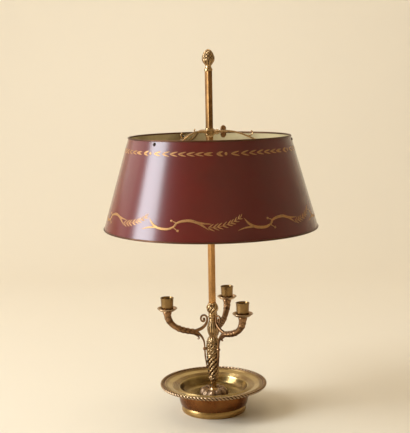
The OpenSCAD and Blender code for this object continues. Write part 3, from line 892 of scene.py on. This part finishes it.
# Bars in the XZ plane: points (x, z, half thickness, half width) in mm
BRANCH = [
    (81.5, 186.6, 6.8, 6.8), (81.2, 180, 6.3, 6.3), (79.6, 172, 5.9, 5.9), (75, 164.3, 5.6, 5.6),
    (67.4, 157.3, 5.2, 5.2), (56, 151.6, 4.9, 4.9), (43, 148, 4.7, 4.7), (31, 145.4, 4.2, 4.2),
    (24.4, 141, 2.9, 3.4), (19.4, 135.2, 2.3, 3), (16.4, 128, 1.8, 2.8), (15.2, 120, 1.4, 2.6),
    (14.9, 110, 1.4, 2.6), (14.3, 100, 1.6, 2.5), (12.8, 90, 1.5, 2.3), (11.8, 82, 1.1, 1.9)]
VOLUTE = [
    (36, 147.4, 2.2, 2.4), (28.5, 148.8, 2.8, 2.8), (21.4, 151.2, 3, 2.6), (15.6, 155.2, 2.8, 2.4),
    (11.4, 160.8, 2.4, 2.2), (9.7, 167, 2, 2), (10.6, 172.6, 1.9, 1.9), (14.4, 175.6, 1.8, 1.8),
    (18.9, 174.8, 1.7, 1.8), (21.3, 170.8, 1.7, 1.8), (20.4, 166.4, 1.7, 1.8),
    (17.2, 164.4, 1.8, 1.8), (14.8, 166.2, 1.9, 1.8), (15.4, 169, 2, 1.9)]


def overlapping(distance, turn, around, pitch):
    """Relief of rows of pointed leaves that overlap like laurel: height and hollow."""
    u = cell(turn, around)
    run = (distance / pitch + 0.55 * abs(u)) % 1.0
    lift = run ** 0.7 * (1 - ramp(run, 0.86, 1.0))
    vein = math.exp(-((u / 0.12) ** 2))
    return lift * (1 - 0.25 * vein), (1 - ramp(run, 0.0, 0.35)) * 0.9 + 0.25 * vein


def arm_relief(distance, turn):
    """Carving along an arm, by the distance in mm from under its cup."""
    lift, dark = 0.0, 0.0
    for middle in (16.5, 19.0):  # two rings where the sheath of leaves ends
        lift += 0.6 * math.exp(-((distance - middle) / 0.8) ** 2)
        # a dark band is painted just below each ring: painted shadow
        dark += 0.8 * math.exp(-((distance - middle - 1.3) / 0.8) ** 2)
    if 1 < distance < 15:  # upright leaves under the cup
        height, hollow = overlapping(15 - distance, turn, 6, 7.0)
        hold = fade(distance, 1, 15, 1.5)
        return lift + 1.3 * (height - 0.4) * hold, min(1.0, dark + hollow * hold)
    if 38 < distance < 72:  # leaves round the low part
        height, hollow = overlapping(distance - 38, turn, 4, 8.5)
        hold = fade(distance, 38, 72, 2.0)
        return lift + 2.0 * (height - 0.4) * hold, hollow * hold
    if distance > 76:  # the tail's raised edges
        face = ramp(abs(math.cos(turn)), 0.80, 0.95)
        return lift - 0.35 * face, dark + 0.6 * face
    # elsewhere the upper and lower faces are painted darker than the sides: painted shade
    return lift, min(dark + 0.25 * (1 - abs(math.sin(turn))), 1.0)


def make_scroll_arms(sizes):
    branch = swept("branch", smooth(BRANCH, 14), 48, arm_relief)
    strap = swept("strap", smooth(VOLUTE, 8), 20, strap_relief, squareness=3.0)
    eye = sphere("eye", (15.6, 0, 168.9), 2.5)
    collar = turned("collar", [
        (0, 178), *smooth([(6.2, 178), (7.6, 182.6), (7.9, 184.6), (7.2, ARM_TOP)], 6),
        (0, ARM_TOP)], 48)
    place_mesh(collar, move_by(ARM_REACH, 0, 0))
    knuckle = turned("knuckle", [
        (0, 0), (2.7, 0), (2.7, 2.4), (3.3, 2.9), (3.3, 4.9), (2.9, KNUCKLE), (0, KNUCKLE)], 32)
    place_mesh(knuckle, move_by(VASE_FACE, 0, KNUCKLE_Z) @ rotation(90, "Y"))
    curl = swept("curl", smooth([
        (36, 143, 1.0, 2.2), (31, 140.6, 1.6, 3), (26.8, 137.6, 1.5, 3), (24.8, 134.4, 1.1, 2.4),
        (26.2, 132.4, 0.9, 1.8), (27.8, 133.4, 0.8, 1.4)], 6), 16)
    tip = sphere("tip", (11.8, 0, 81.6), 1.6, (1, 1.2, 1.2), 16)
    arm = join("scroll_arm_1_cast", [branch, strap, eye, collar, knuckle, curl, tip])
    for i, angle in enumerate(ARM_ANGLES):
        piece = arm if angle == 0 else turned_copy(arm, f"scroll_arm_{i + 1}_cast", angle)
        dress(piece, "Dark brass", "aged_brass", "lamp", f"scroll_arm_{i + 1}")


def strap_relief(distance, turn):
    """A volute's strap is hollowed between two raised edges."""
    face = ramp(abs(math.cos(turn)), 0.86, 0.97)
    return -0.4 * face, 0.75 * face


def make_cups(sizes):
    r, bore, mouth = 18.0, 10.2, 1.8
    top = CUP_Z + 23.3
    upper = smooth([(11.6, CUP_Z), (14, 189.4), (r - 2.2, 192)], 5)
    lower = smooth([(r - 1.8, 190.8), (13.6, 187.9), (10.6, ARM_TOP)], 5)
    pan = turned("drip_pan_1_turned", [
        (1.95, ARM_TOP), (1.95, CUP_Z), *upper, *arc((r - 0.9, 192.1), 0.9, 130, -100, 8), *lower,
        (1.95, ARM_TOP)], 96)
    base = smooth([(12.2, CUP_Z), (12.6, CUP_Z + 0.9), (12.1, CUP_Z + 1.8), (10.9, CUP_Z + 2.4)], 4)
    side = smooth([(10.8, CUP_Z + 2.6), (10.95, CUP_Z + 8), (11.1, CUP_Z + 14), (11.5, top - 3),
                   (12.1, top - 0.8)], 5)
    floor = CUP_Z + 3
    cup = turned("candle_cup_1_turned", [
        (1.95, CUP_Z), *base, *side, (12.0, top - 0.2), (11.6, top), (11.0, top), (bore, top - mouth),
        (bore, floor), (4, floor), (4, floor - 1.9), (1.95, floor - 1.9), (1.95, CUP_Z)], 96)
    for piece in (pan, cup):
        place_mesh(piece, move_by(ARM_REACH, 0, 0))
    for i, angle in enumerate(ARM_ANGLES):
        n = i + 1
        one_pan = pan if angle == 0 else turned_copy(pan, f"drip_pan_{n}_turned", angle)
        one_cup = cup if angle == 0 else turned_copy(cup, f"candle_cup_{n}_turned", angle)
        dress(one_pan, "Rope brass", "aged_brass", "lamp", f"drip_pan_{n}")
        dress(one_cup, "Cup brass", "polished_brass", "lamp", f"candle_cup_{n}")


# --- screws -----------------------------------------------------------------------------


def slotted_screw(name, head_r, head_h, shank_r, shank):
    """A round-headed screw that points down -Z, with its slot across the head along X."""
    slot_w, slot_d = 0.7, 0.6
    sphere_r = (head_r ** 2 + head_h ** 2) / (2 * head_h)

    def place(u, v):
        turn = TURN * v
        if u < 0.5:  # the head, from its middle outwards
            r = head_r * 2 * u
            z = math.sqrt(sphere_r ** 2 - r * r) - sphere_r + head_h
            y = r * math.sin(turn)
            in_slot = 1 - ramp(abs(y), slot_w * 0.75, slot_w)
            return (r * math.cos(turn), y, z - slot_d * in_slot * ramp(z, 0.0, 0.3)), 0.9 * in_slot
        steps = ((head_r, 0.0), (shank_r, 0.0), (shank_r, -shank), (0.0, -shank))
        r, z = steps[min(int((u - 0.5) * 8), 3)]
        return (r * math.cos(turn), r * math.sin(turn), z), 0.3

    return wrapped(name, 24, 48, place, smooth_angle=50)


def make_screws(sizes):
    arm_screw = slotted_screw("arm_screw", 3.0, 1.8, 1.45, 9.7)
    place_mesh(arm_screw, move_by(VASE_FACE + KNUCKLE, 0, KNUCKLE_Z)
               @ rotation(90, "Y") @ Matrix.Rotation(0.7, 4, "Z"))
    parts = [arm_screw] + [turned_copy(arm_screw, "arm_screw_copy", a) for a in ARM_ANGLES[1:]]
    dress(join("arm_screws_slotted", parts), "Dark brass", "dark_brass", "lamp", "arm_screws")
    shade_screw = slotted_screw("shade_screw", 3.1, 1.8, 1.5, 6.6)
    place_mesh(shade_screw, move_by(cone_r(SHADE_SCREW_Z), 0, SHADE_SCREW_Z)
               @ Matrix.Rotation(math.pi / 2 - CONE_LEAN, 4, "Y") @ Matrix.Rotation(1.1, 4, "Z"))
    parts = [turned_copy(shade_screw, "shade_screw_copy", a) for a in CARRIER_ANGLES]
    bpy.data.objects.remove(shade_screw)
    dress(join("shade_screws_slotted", parts), "Black iron", "black_iron", "shade", "shade_screws")


# --- carrier ----------------------------------------------------------------------------

CARRIER_ARM = [
    (7.2, 502.8, 2.6, 3), (22, 504.8, 2.1, 3), (38, 504.4, 1.8, 3), (54, 501, 1.7, 3.2),
    (68, 495.6, 1.7, 3.6), (82, 489.4, 1.7, 4), (96, 485, 1.6, 4.2), (112, 482.6, 1.5, 4),
    (128, 482.4, 1.5, 3.8), (138, 483, 1.4, 3.8), (144.0, 483.8, 1.3, 3.8)]
SPUR = [
    (64, 496.8, 0.9, 1.6), (70, 496.6, 1.1, 1.6), (75, 498.6, 1, 1.5), (76.6, 502.4, 0.9, 1.3),
    (74.6, 504.6, 0.7, 1.1)]


def make_carrier(sizes):
    def veins(distance, turn):
        face = math.cos(turn)
        groove = ramp(abs(face), 0.9, 1.0) * fade(distance, 10, 140, 8)
        return -0.45 * groove, 0.8 * groove

    arm = swept("arm", smooth(CARRIER_ARM, 8), 20, veins, squareness=2.6)
    spur = swept("spur", smooth(SPUR, 6), 12)
    ball = sphere("ball", (74.2, 0, 504.9), 1.3, segments=16)
    pad = start("pad", bpy.ops.mesh.primitive_cube_add, size=1)
    place_mesh(pad, Matrix.Diagonal((2.2 * MM, 8.4 * MM, 11.6 * MM, 1)))
    edit(pad)
    bpy.ops.mesh.bevel(offset=0.5 * MM, segments=3, affect="EDGES")
    close_up(smooth_angle=50)
    place_mesh(pad, move_by(cone_r(SHADE_SCREW_Z), 0, SHADE_SCREW_Z)
               @ Matrix.Rotation(-CONE_LEAN, 4, "Y") @ move_by(-0.8 - 1.1, 0, -2.4))
    whole = join("carrier_arm_1_cast", [arm, spur, ball, pad])
    for n, angle in enumerate(CARRIER_ANGLES, 1):
        piece = turned_copy(whole, f"carrier_arm_{n}_leaf", angle)
        dress(piece, "Aged brass", "aged_brass", "shade", f"carrier_arm_{n}")
    bpy.data.objects.remove(whole)


def make_thumb_key(sizes):
    boss_end, reach, span = 18.0, 32.0, 22.0
    lobe = span / 4 + 0.5
    shank = turned("key_shank", [
        (0, 4.8), (1.6, 4.8), (2.5, 5.8), (2.5, boss_end + 0.3), (4.2, boss_end + 0.3),
        (4.4, boss_end + 1.0), (4.1, boss_end + 1.7), (3.0, boss_end + 2.8), (2.4, 23), (2.6, 26),
        (3.1, 28), (3.0, 33), (2.4, reach + 4.2), (0, reach + 5.4)], 48)
    place_mesh(shank, rotation(-90, "X"))
    outline = [(0, 1.9), (1.0, 1.9), (1.6, 1.3), (2.2, 0.75), (3.6, 0.75), (4.3, 1.3), (4.9, 1.65),
               (5.6, 1.4), (lobe, 0.6), (lobe, -0.6), (5.6, -1.4), (4.9, -1.65), (4.3, -1.3),
               (3.6, -0.75), (2.2, -0.75), (1.6, -1.3), (1.0, -1.9), (0, -1.9)]
    wing = turned("key_wing", outline, 64, smooth_angle=60)
    place_mesh(wing, rotation(90, "Y"))
    other = turned_copy(wing, "key_wing_low", 0)
    for piece, side in ((wing, 1), (other, -1)):
        place_mesh(piece, move_by(0, reach, side * (span / 2 - lobe)))
    key = join("thumb_key_winged", [shank, wing, other])
    place_mesh(key, move_by(0, 0, KEY_Z))
    dress(key, "Dark brass", "dark_brass", "key", "thumb_key")


def make_finial(sizes):
    z0 = 609.0  # the mast's top
    cup_top, scale_h = 19.0, 3.1
    points = [(7, 0), (7.1, 3.2), (5.6, 5.6), (5.1, 8.6), (6.2, 11), (8.6, 14.4), (10.6, 18),
              (11.2, 21.6), (10.4, 25.6), (8.6, 30), (6, 34), (2.6, 36.8), (0, 37.6)]
    outline = [(0, -12), (2.5, -12), (2.5, 0)] + smooth(points, 12)
    finial = turned("finial_pine_cone", [(r, z0 + z) for r, z in outline], 240, smooth_angle=50)

    def scales(angle, z, r):
        h = z - z0
        if h < 9.6 or r < 0.3:
            return 0.0, 0.0
        if h < cup_top:  # cup of leaves that holds the cone
            u = cell(angle, 10)
            groove = ramp(abs(u), 0.45, 1.0)
            hold = fade(h, 9.6, cup_top, 1.6)
            return (0.35 - 1.0 * groove) * hold, 0.9 * groove * hold
        rows = (h - cup_top) / scale_h
        across = angle / TURN * 10
        a, b = (across + rows * 0.5) % 1, (across - rows * 0.5) % 1
        boss = min(1 - abs(2 * a - 1), 1 - abs(2 * b - 1))
        hold = ramp(h, cup_top, cup_top + 0.8) * (1 - ramp(h, 35.6, 37.2))
        return (1.15 * boss ** 0.7 - 0.75) * hold, 0.95 * (1 - boss) ** 3 * hold

    carve(finial, scales)
    dress(finial, "Aged brass", "aged_brass", "finial", "finial")


# --- shade ------------------------------------------------------------------------------


def make_shade(sizes):
    (r0, z0), (r1, z1) = CONE
    rows = 24

    def wall(outer, inner):
        heights = [z0 + (z1 - z0) * i / rows for i in range(rows + 1)]
        out = [(cone_r(z) - outer, z) for z in heights]
        back = [(cone_r(z) - inner, z) for z in reversed(heights)]
        return [*out, *back, out[0]]

    outside = turned("shade_lacquer", wall(0, SHEET * 0.6), 256)
    dress(outside, "Oxblood lacquer", "oxblood_paint", "shade", "shade_shell")
    lining = turned("shade_lining", wall(SHEET * 0.6, SHEET), 256)
    dress(lining, "Cream paint", "cream_paint", "shade")
    for name, r, z, node in (
        ("top", r1, z1, "shade_top_rim"), ("bottom", r0, z0, "shade_bottom_rim")
    ):
        bead = turned(f"shade_{name}_wired_edge", arc((r - SHEET / 2, z), RIM_WIRE, 0, 360, 20), 256)
        dress(bead, "Rim brass", "polished_brass", "shade", node)


# --- gilding ----------------------------------------------------------------------------


def stroke(name, points, z_middle, thickness):
    """One gilt stroke on the cone: points are (degrees, mm up the shade, half width)."""
    across = 6
    last = len(points) - 1
    arc_mm = math.radians(cone_r(z_middle))  # millimetres for each degree
    flat = [(p[0] * arc_mm, p[1]) for p in points]

    def place(u, v):
        i = round(u * last)
        a, b = flat[max(i - 1, 0)], flat[min(i + 1, last)]
        run = math.dist(a, b) or 1.0
        nx, ny = -(b[1] - a[1]) / run, (b[0] - a[0]) / run
        half = points[i][2]
        turn = TURN * v
        side = math.cos(turn) * half
        lift = math.sin(turn) * thickness * min(1.0, half * 1.5)
        x, y = flat[i][0] + nx * side, flat[i][1] + ny * side
        z = z_middle + y * math.cos(CONE_LEAN)
        angle = math.radians(x / arc_mm)
        off = max(lift, -0.1)
        r = cone_r(z) + off * math.cos(CONE_LEAN)
        return (r * math.cos(angle), r * math.sin(angle), z + off * math.sin(CONE_LEAN)), 0.0

    return wrapped(name, last, across, place)


def tapered(points, thin, thick, peak):
    """A stroke that swells from thin to thick where peak says and thins out again."""
    line = smooth(points, 4)
    last = len(line) - 1
    out = []
    for i, (x, y) in enumerate(line):
        t = i / last
        swell = math.sin(math.pi * (t ** (math.log(0.5) / math.log(peak)))) ** 1.3
        out.append((x, y, thin * min(1.0, 6 * (1 - t) + 0.15) + (thick - thin) * swell))
    return out


def dot(x, y, radius):
    """A round spot, as a stroke that opens and closes."""
    arc_mm = 3.15
    turns = [math.pi * i / 8 for i in range(9)]
    return [(x - radius / arc_mm * math.cos(a), y, max(radius * math.sin(a), 0.02)) for a in turns]


def blade(x, y, length, width, degrees, arc_mm):
    """A pointed leaf that starts at (x, y) and points in a direction in the face of the shade."""
    a = math.radians(degrees)
    return [
        (x + t / 6 * length * math.cos(a) / arc_mm, y + t / 6 * length * math.sin(a),
         max(width * math.sin(math.pi * min(0.08 + t / 6 * 0.92, 1.0)) ** 0.8, 0.03))
        for t in range(7)]


def gild(name, strokes, z, thickness, offset):
    """Joins strokes into a unit of ornament at height z, and joins its copies round the shade."""
    unit = join("unit", [stroke(f"stroke_{i}", s, z, thickness) for i, s in enumerate(strokes)])
    copies = [
        turned_copy(unit, f"unit_{k}", CAMERA_AZIMUTH + offset + k * 360 / GILT_REPEATS)
        for k in range(GILT_REPEATS)]
    bpy.data.objects.remove(unit)
    dress(join(name, copies), "Gilding", "gilding", "shade")


def make_lower_frieze(sizes):
    z = 364.0
    arc_mm = math.radians(cone_r(z))
    strokes = [
        tapered([(0.9, -7), (-0.6, -3.5), (-0.2, 0.8), (1.3, 4.6), (3.9, 7.2), (7.9, 8.1), (11.9, 4.6),
                 (15, -1.2), (17.6, -7.2)], 0.75, 2.3, 0.62),
        tapered([(8.6, 7.2), (11.9, 5.4), (15.2, 3.6), (18.9, 2.8)], 0.5, 1.5, 0.4),
        tapered([(-1.4, 6.4), (0.3, 4.4), (0.2, 0.4), (-1.8, -4.0), (-4.4, -6.4), (-9, -5.4),
                 (-12.4, -0.6), (-14.2, 5.0), (-15.7, 11)], 0.75, 2.3, 0.62),
        tapered([(-9.4, -5.2), (-12.4, -4.4), (-16, -5.6), (-19.5, -9.2)], 0.45, 1.4, 0.4),
        dot(-2.1, 7.4, 2.0), dot(1.6, -8.4, 2.0),
    ]
    sprig = smooth([(17, -3.6), (21, -2.4), (25, -0.2), (28.6, 3), (31.6, 7.4), (34.4, 13)], 6)
    strokes.append([(x, y, 0.38) for x, y in sprig])
    for k in range(8):
        i = round(k * (len(sprig) - 3) / 7.6)
        (x, y), (x1, y1) = sprig[i], sprig[i + 2]
        along = math.degrees(math.atan2(y1 - y, (x1 - x) * arc_mm))
        length = 12.0 - 0.55 * k
        strokes += [blade(x, y, length, 1.0, along + side * 31, arc_mm) for side in (1, -1)]
    x, y = sprig[-2]
    strokes.append(blade(x, y, 6, 0.8, 62, arc_mm))
    gild("gilt_scroll_frieze", strokes, z, sizes.gilt_thickness / MM, -18.5)


def make_upper_frieze(sizes):
    z = 475.4
    arc_mm = math.radians(cone_r(z))
    strokes = [[(x, 0.0, 0.3) for x in (-2.0, 6.0, 14.0, 22.0, 30.0, 38.0, 46.0)]]
    leaves = [(5.6 * k, 14.5, 1.2, 16 - k) for k in range(5)]  # pairs with their points to the left
    leaves += [(27.8, 15.0, 1.5, 9), (35.7, 11.5, 1.7, 19), (44.9, 14.5, 1.3, 14)]
    for x, length, width, lean in leaves:
        strokes += [blade(x, 0.3 * side, length, width, side * lean, arc_mm) for side in (1, -1)]
    strokes.append(dot(41.6, 0.0, 2.8))
    gild("gilt_laurel_frieze", strokes, z, sizes.gilt_thickness / MM, -31.4)


# --- solids that keep their shape -------------------------------------------------------


def finish_kept_solids(sizes):
    for name, material in (
        ("tie_rod", "Steel"), ("base_washer", "Steel"), ("base_nut", "Steel"),
        ("cup_screws", "Steel"), ("shade_nuts", "Steel"), ("carrier_hub", "Aged brass"),
    ):
        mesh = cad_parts[name].data
        mesh.materials.clear()
        mesh.materials.append(finish(material))


# --- stage ------------------------------------------------------------------------------


def image_direction(x, y, z=0.0):
    """A direction given in the camera's plan, x to its right and y away from it, turned into
    the row frame."""
    return rotation(90 + CAMERA_AZIMUTH, "Z") @ Vector((x, y, z))


def softbox(name, position, target, width, height, power, tint=(1, 1, 1)):
    """A rectangular lamp at a place in the camera's plan that faces a target."""
    data = bpy.data.lights.new(name, "AREA")
    data.shape = "RECTANGLE"
    data.size, data.size_y = width, height
    data.energy = power
    data.color = tint
    lamp = bpy.data.objects.new(name, data)
    bpy.context.scene.collection.objects.link(lamp)
    lamp.location = image_direction(*position)
    aim = image_direction(*target) - lamp.location
    lamp.rotation_euler = aim.to_track_quat("-Z", "Y").to_euler()
    return lamp


def make_stage(sizes):
    scene = bpy.context.scene
    c = scene.lamp_colours
    floor = start("floor", bpy.ops.mesh.primitive_plane_add, size=1)
    edit(floor)
    back = 2.4
    bpy.ops.transform.resize(value=(9, 6, 1))
    bpy.ops.transform.translate(value=(0, back - 3, 0))
    bm = bmesh.from_edit_mesh(floor.data)
    for e in bm.edges:
        e.select = all(v.co.y > back - 0.01 for v in e.verts)
    for v in bm.verts:
        v.select = v.co.y > back - 0.01
    bmesh.update_edit_mesh(floor.data)
    bpy.ops.mesh.extrude_region_move(TRANSFORM_OT_translate={"value": (0, 0, 4)})
    bm = bmesh.from_edit_mesh(floor.data)
    for v in bm.verts:
        v.select = abs(v.co.y - back) < 0.01 and abs(v.co.z) < 0.01
    bm.select_flush(True)
    bmesh.update_edit_mesh(floor.data)
    bpy.ops.mesh.select_mode(type="EDGE")
    bpy.ops.mesh.bevel(offset=1.2, segments=24, affect="EDGES")
    close_up()
    place_mesh(floor, rotation(90 + CAMERA_AZIMUTH, "Z"))
    material, tree, shader = new_material("Pale floor")
    place = add(tree, "TexCoord").outputs["Object"]
    grain = noise(tree, place, 900.0, 2.0)
    set_inputs(tree, shader.inputs, {
        "Base Color": rgba(c.floor), "Roughness": remap(tree, grain, 0.3, 0.7, 0.50, 0.62),
        "Normal": bump(tree, grain, 0.00005)})
    floor.data.materials.append(material)

    softbox("Window light", (-1.94, -0.54, 1.15), (0, 0, 0.38), 0.94, 1.9, 80, (0.84, 0.92, 1.0))
    softbox("Side light", (-1.9, 0.95, 1.3), (0, 0, 0.38), 1.3, 1.4, 7, (1.0, 0.92, 0.9))
    softbox("Top light", (-0.5, 0.4, 2.6), (0, 0.3, 0.1), 1.6, 1.6, 7, (1.0, 0.95, 0.88))
    softbox("Backdrop light", (-0.2, 0.9, 2.7), (0, 2.2, 0.8), 2.2, 0.8, 16, (1.0, 0.95, 0.88))

    world = bpy.data.worlds.new("Studio")
    scene.world = world
    world.use_nodes = True
    background = world.node_tree.nodes["Background"]
    background.inputs["Color"].default_value = (1.0, 0.98, 0.95, 1.0)
    background.inputs["Strength"].default_value = 0.10
    scene.view_settings.view_transform = "Standard"

    data = bpy.data.cameras.new("Camera")
    data.lens, data.sensor_width, data.sensor_fit = 80.0, 36.0, "AUTO"
    data.clip_start, data.clip_end = 0.1, 50.0
    camera = bpy.data.objects.new("Camera", data)
    scene.collection.objects.link(camera)
    turn = rotation(50.35, "Z") @ rotation(90 - 7.91, "X") @ rotation(-1.0, "Z")
    camera.matrix_world = Matrix.Translation((1.2938, -1.0856, 0.5887)) @ turn
    scene.camera = camera


# --- operators --------------------------------------------------------------------------


class LampOperator:
    """What the lamp's operators share."""

    bl_options = {"REGISTER", "UNDO"}

    def execute(self, context):
        self.make(context.scene.lamp_sizes)
        return {"FINISHED"}


class LAMP_OT_foot_ring(LampOperator, bpy.types.Operator):
    """Turn the polished ring that the lamp stands on"""

    bl_idname = "lamp.foot_ring"
    bl_label = "Foot Ring"
    make = staticmethod(make_foot_ring)


class LAMP_OT_dish(LampOperator, bpy.types.Operator):
    """Turn the basin of the dish and its reeded flange"""

    bl_idname = "lamp.dish"
    bl_label = "Dish"
    make = staticmethod(make_dish)


class LAMP_OT_rope_border(LampOperator, bpy.types.Operator):
    """Twist the rope border round the dish"""

    bl_idname = "lamp.rope_border"
    bl_label = "Rope Border"
    make = staticmethod(make_rope_border)


class LAMP_OT_mound(LampOperator, bpy.types.Operator):
    """Carve the mound of leaves at the foot of the stem"""

    bl_idname = "lamp.mound"
    bl_label = "Leafy Mound"
    make = staticmethod(make_mound)


class LAMP_OT_spool(LampOperator, bpy.types.Operator):
    """Turn the smooth spool above the mound"""

    bl_idname = "lamp.spool"
    bl_label = "Spool"
    make = staticmethod(make_spool)


class LAMP_OT_pearl_ring(LampOperator, bpy.types.Operator):
    """Set the ring of pearls under the vase"""

    bl_idname = "lamp.pearl_ring"
    bl_label = "Pearl Ring"
    make = staticmethod(make_pearl_ring)


class LAMP_OT_vase(LampOperator, bpy.types.Operator):
    """Carve the vase with its spiral leaves and its band"""

    bl_idname = "lamp.vase"
    bl_label = "Vase"
    make = staticmethod(make_vase)


class LAMP_OT_baluster(LampOperator, bpy.types.Operator):
    """Flute the baluster between the arms"""

    bl_idname = "lamp.baluster"
    bl_label = "Baluster"
    make = staticmethod(make_baluster)


class LAMP_OT_collar(LampOperator, bpy.types.Operator):
    """Turn the beaded collar that the volutes rest against"""

    bl_idname = "lamp.collar"
    bl_label = "Ringed Collar"
    make = staticmethod(make_collar)


class LAMP_OT_knob(LampOperator, bpy.types.Operator):
    """Carve the spiral knob that holds the mast"""

    bl_idname = "lamp.knob"
    bl_label = "Leaf Knob"
    make = staticmethod(make_knob)


class LAMP_OT_mast(LampOperator, bpy.types.Operator):
    """Make the square mast with its worn edges"""

    bl_idname = "lamp.mast"
    bl_label = "Mast"
    make = staticmethod(make_mast)


class LAMP_OT_scroll_arms(LampOperator, bpy.types.Operator):
    """Cast the three candle arms with their volutes and leaves"""

    bl_idname = "lamp.scroll_arms"
    bl_label = "Scroll Arms"
    make = staticmethod(make_scroll_arms)


class LAMP_OT_cups(LampOperator, bpy.types.Operator):
    """Turn the three candle cups and their drip pans"""

    bl_idname = "lamp.cups"
    bl_label = "Cups and Pans"
    make = staticmethod(make_cups)


class LAMP_OT_screws(LampOperator, bpy.types.Operator):
    """Make the slotted screws of the arms and of the shade"""

    bl_idname = "lamp.screws"
    bl_label = "Screws"
    make = staticmethod(make_screws)


class LAMP_OT_carrier(LampOperator, bpy.types.Operator):
    """Cast the three curved arms that carry the shade"""

    bl_idname = "lamp.carrier"
    bl_label = "Shade Carrier"
    make = staticmethod(make_carrier)


class LAMP_OT_thumb_key(LampOperator, bpy.types.Operator):
    """Make the thumb key with its two round wings"""

    bl_idname = "lamp.thumb_key"
    bl_label = "Thumb Key"
    make = staticmethod(make_thumb_key)


class LAMP_OT_finial(LampOperator, bpy.types.Operator):
    """Carve the pine-cone finial"""

    bl_idname = "lamp.finial"
    bl_label = "Finial"
    make = staticmethod(make_finial)


class LAMP_OT_shade(LampOperator, bpy.types.Operator):
    """Make the lacquered shade, its lining and its wired edges"""

    bl_idname = "lamp.shade"
    bl_label = "Shade"
    make = staticmethod(make_shade)


class LAMP_OT_lower_frieze(LampOperator, bpy.types.Operator):
    """Paint the gilt scrolls and sprigs round the foot of the shade"""

    bl_idname = "lamp.lower_frieze"
    bl_label = "Scroll Frieze"
    make = staticmethod(make_lower_frieze)


class LAMP_OT_upper_frieze(LampOperator, bpy.types.Operator):
    """Paint the gilt laurel round the top of the shade"""

    bl_idname = "lamp.upper_frieze"
    bl_label = "Laurel Frieze"
    make = staticmethod(make_upper_frieze)


class LAMP_OT_kept_solids(LampOperator, bpy.types.Operator):
    """Finish the solids that are shown as they are"""

    bl_idname = "lamp.kept_solids"
    bl_label = "Rod, Nuts and Hub"
    make = staticmethod(finish_kept_solids)


class LAMP_OT_stage(LampOperator, bpy.types.Operator):
    """Set the floor, the lights and the camera"""

    bl_idname = "lamp.stage"
    bl_label = "Stage"
    make = staticmethod(make_stage)


OPERATORS = (
    LAMP_OT_foot_ring, LAMP_OT_dish, LAMP_OT_rope_border, LAMP_OT_mound, LAMP_OT_spool,
    LAMP_OT_pearl_ring, LAMP_OT_vase, LAMP_OT_baluster, LAMP_OT_collar, LAMP_OT_knob, LAMP_OT_mast,
    LAMP_OT_scroll_arms, LAMP_OT_cups, LAMP_OT_screws, LAMP_OT_carrier, LAMP_OT_thumb_key,
    LAMP_OT_finial, LAMP_OT_shade, LAMP_OT_lower_frieze, LAMP_OT_upper_frieze,
    LAMP_OT_kept_solids, LAMP_OT_stage,
)


class LAMP_PT_panel(bpy.types.Panel):
    """Lists the lamp's pieces, sizes and colours"""

    bl_idname = "LAMP_PT_panel"
    bl_label = "Bouillotte Lamp"
    bl_space_type = "VIEW_3D"
    bl_region_type = "UI"
    bl_category = "Lamp"

    def draw(self, context):
        for operator in OPERATORS:
            self.layout.operator(operator.bl_idname)
        for values in (context.scene.lamp_sizes, context.scene.lamp_colours):
            column = self.layout.column()
            for name in values.__annotations__:
                column.prop(values, name)


CLASSES = (LampSizes, LampColours, *OPERATORS, LAMP_PT_panel)


def register():
    for cls in CLASSES:
        bpy.utils.register_class(cls)
    bpy.types.Scene.lamp_sizes = PointerProperty(type=LampSizes)
    bpy.types.Scene.lamp_colours = PointerProperty(type=LampColours)


def unregister():
    del bpy.types.Scene.lamp_colours
    del bpy.types.Scene.lamp_sizes
    for cls in reversed(CLASSES):
        bpy.utils.unregister_class(cls)


def main():
    register()
    for operator in OPERATORS:
        area, name = operator.bl_idname.split(".")
        getattr(getattr(bpy.ops, area), name)()


if __name__ == "__main__":
    main()
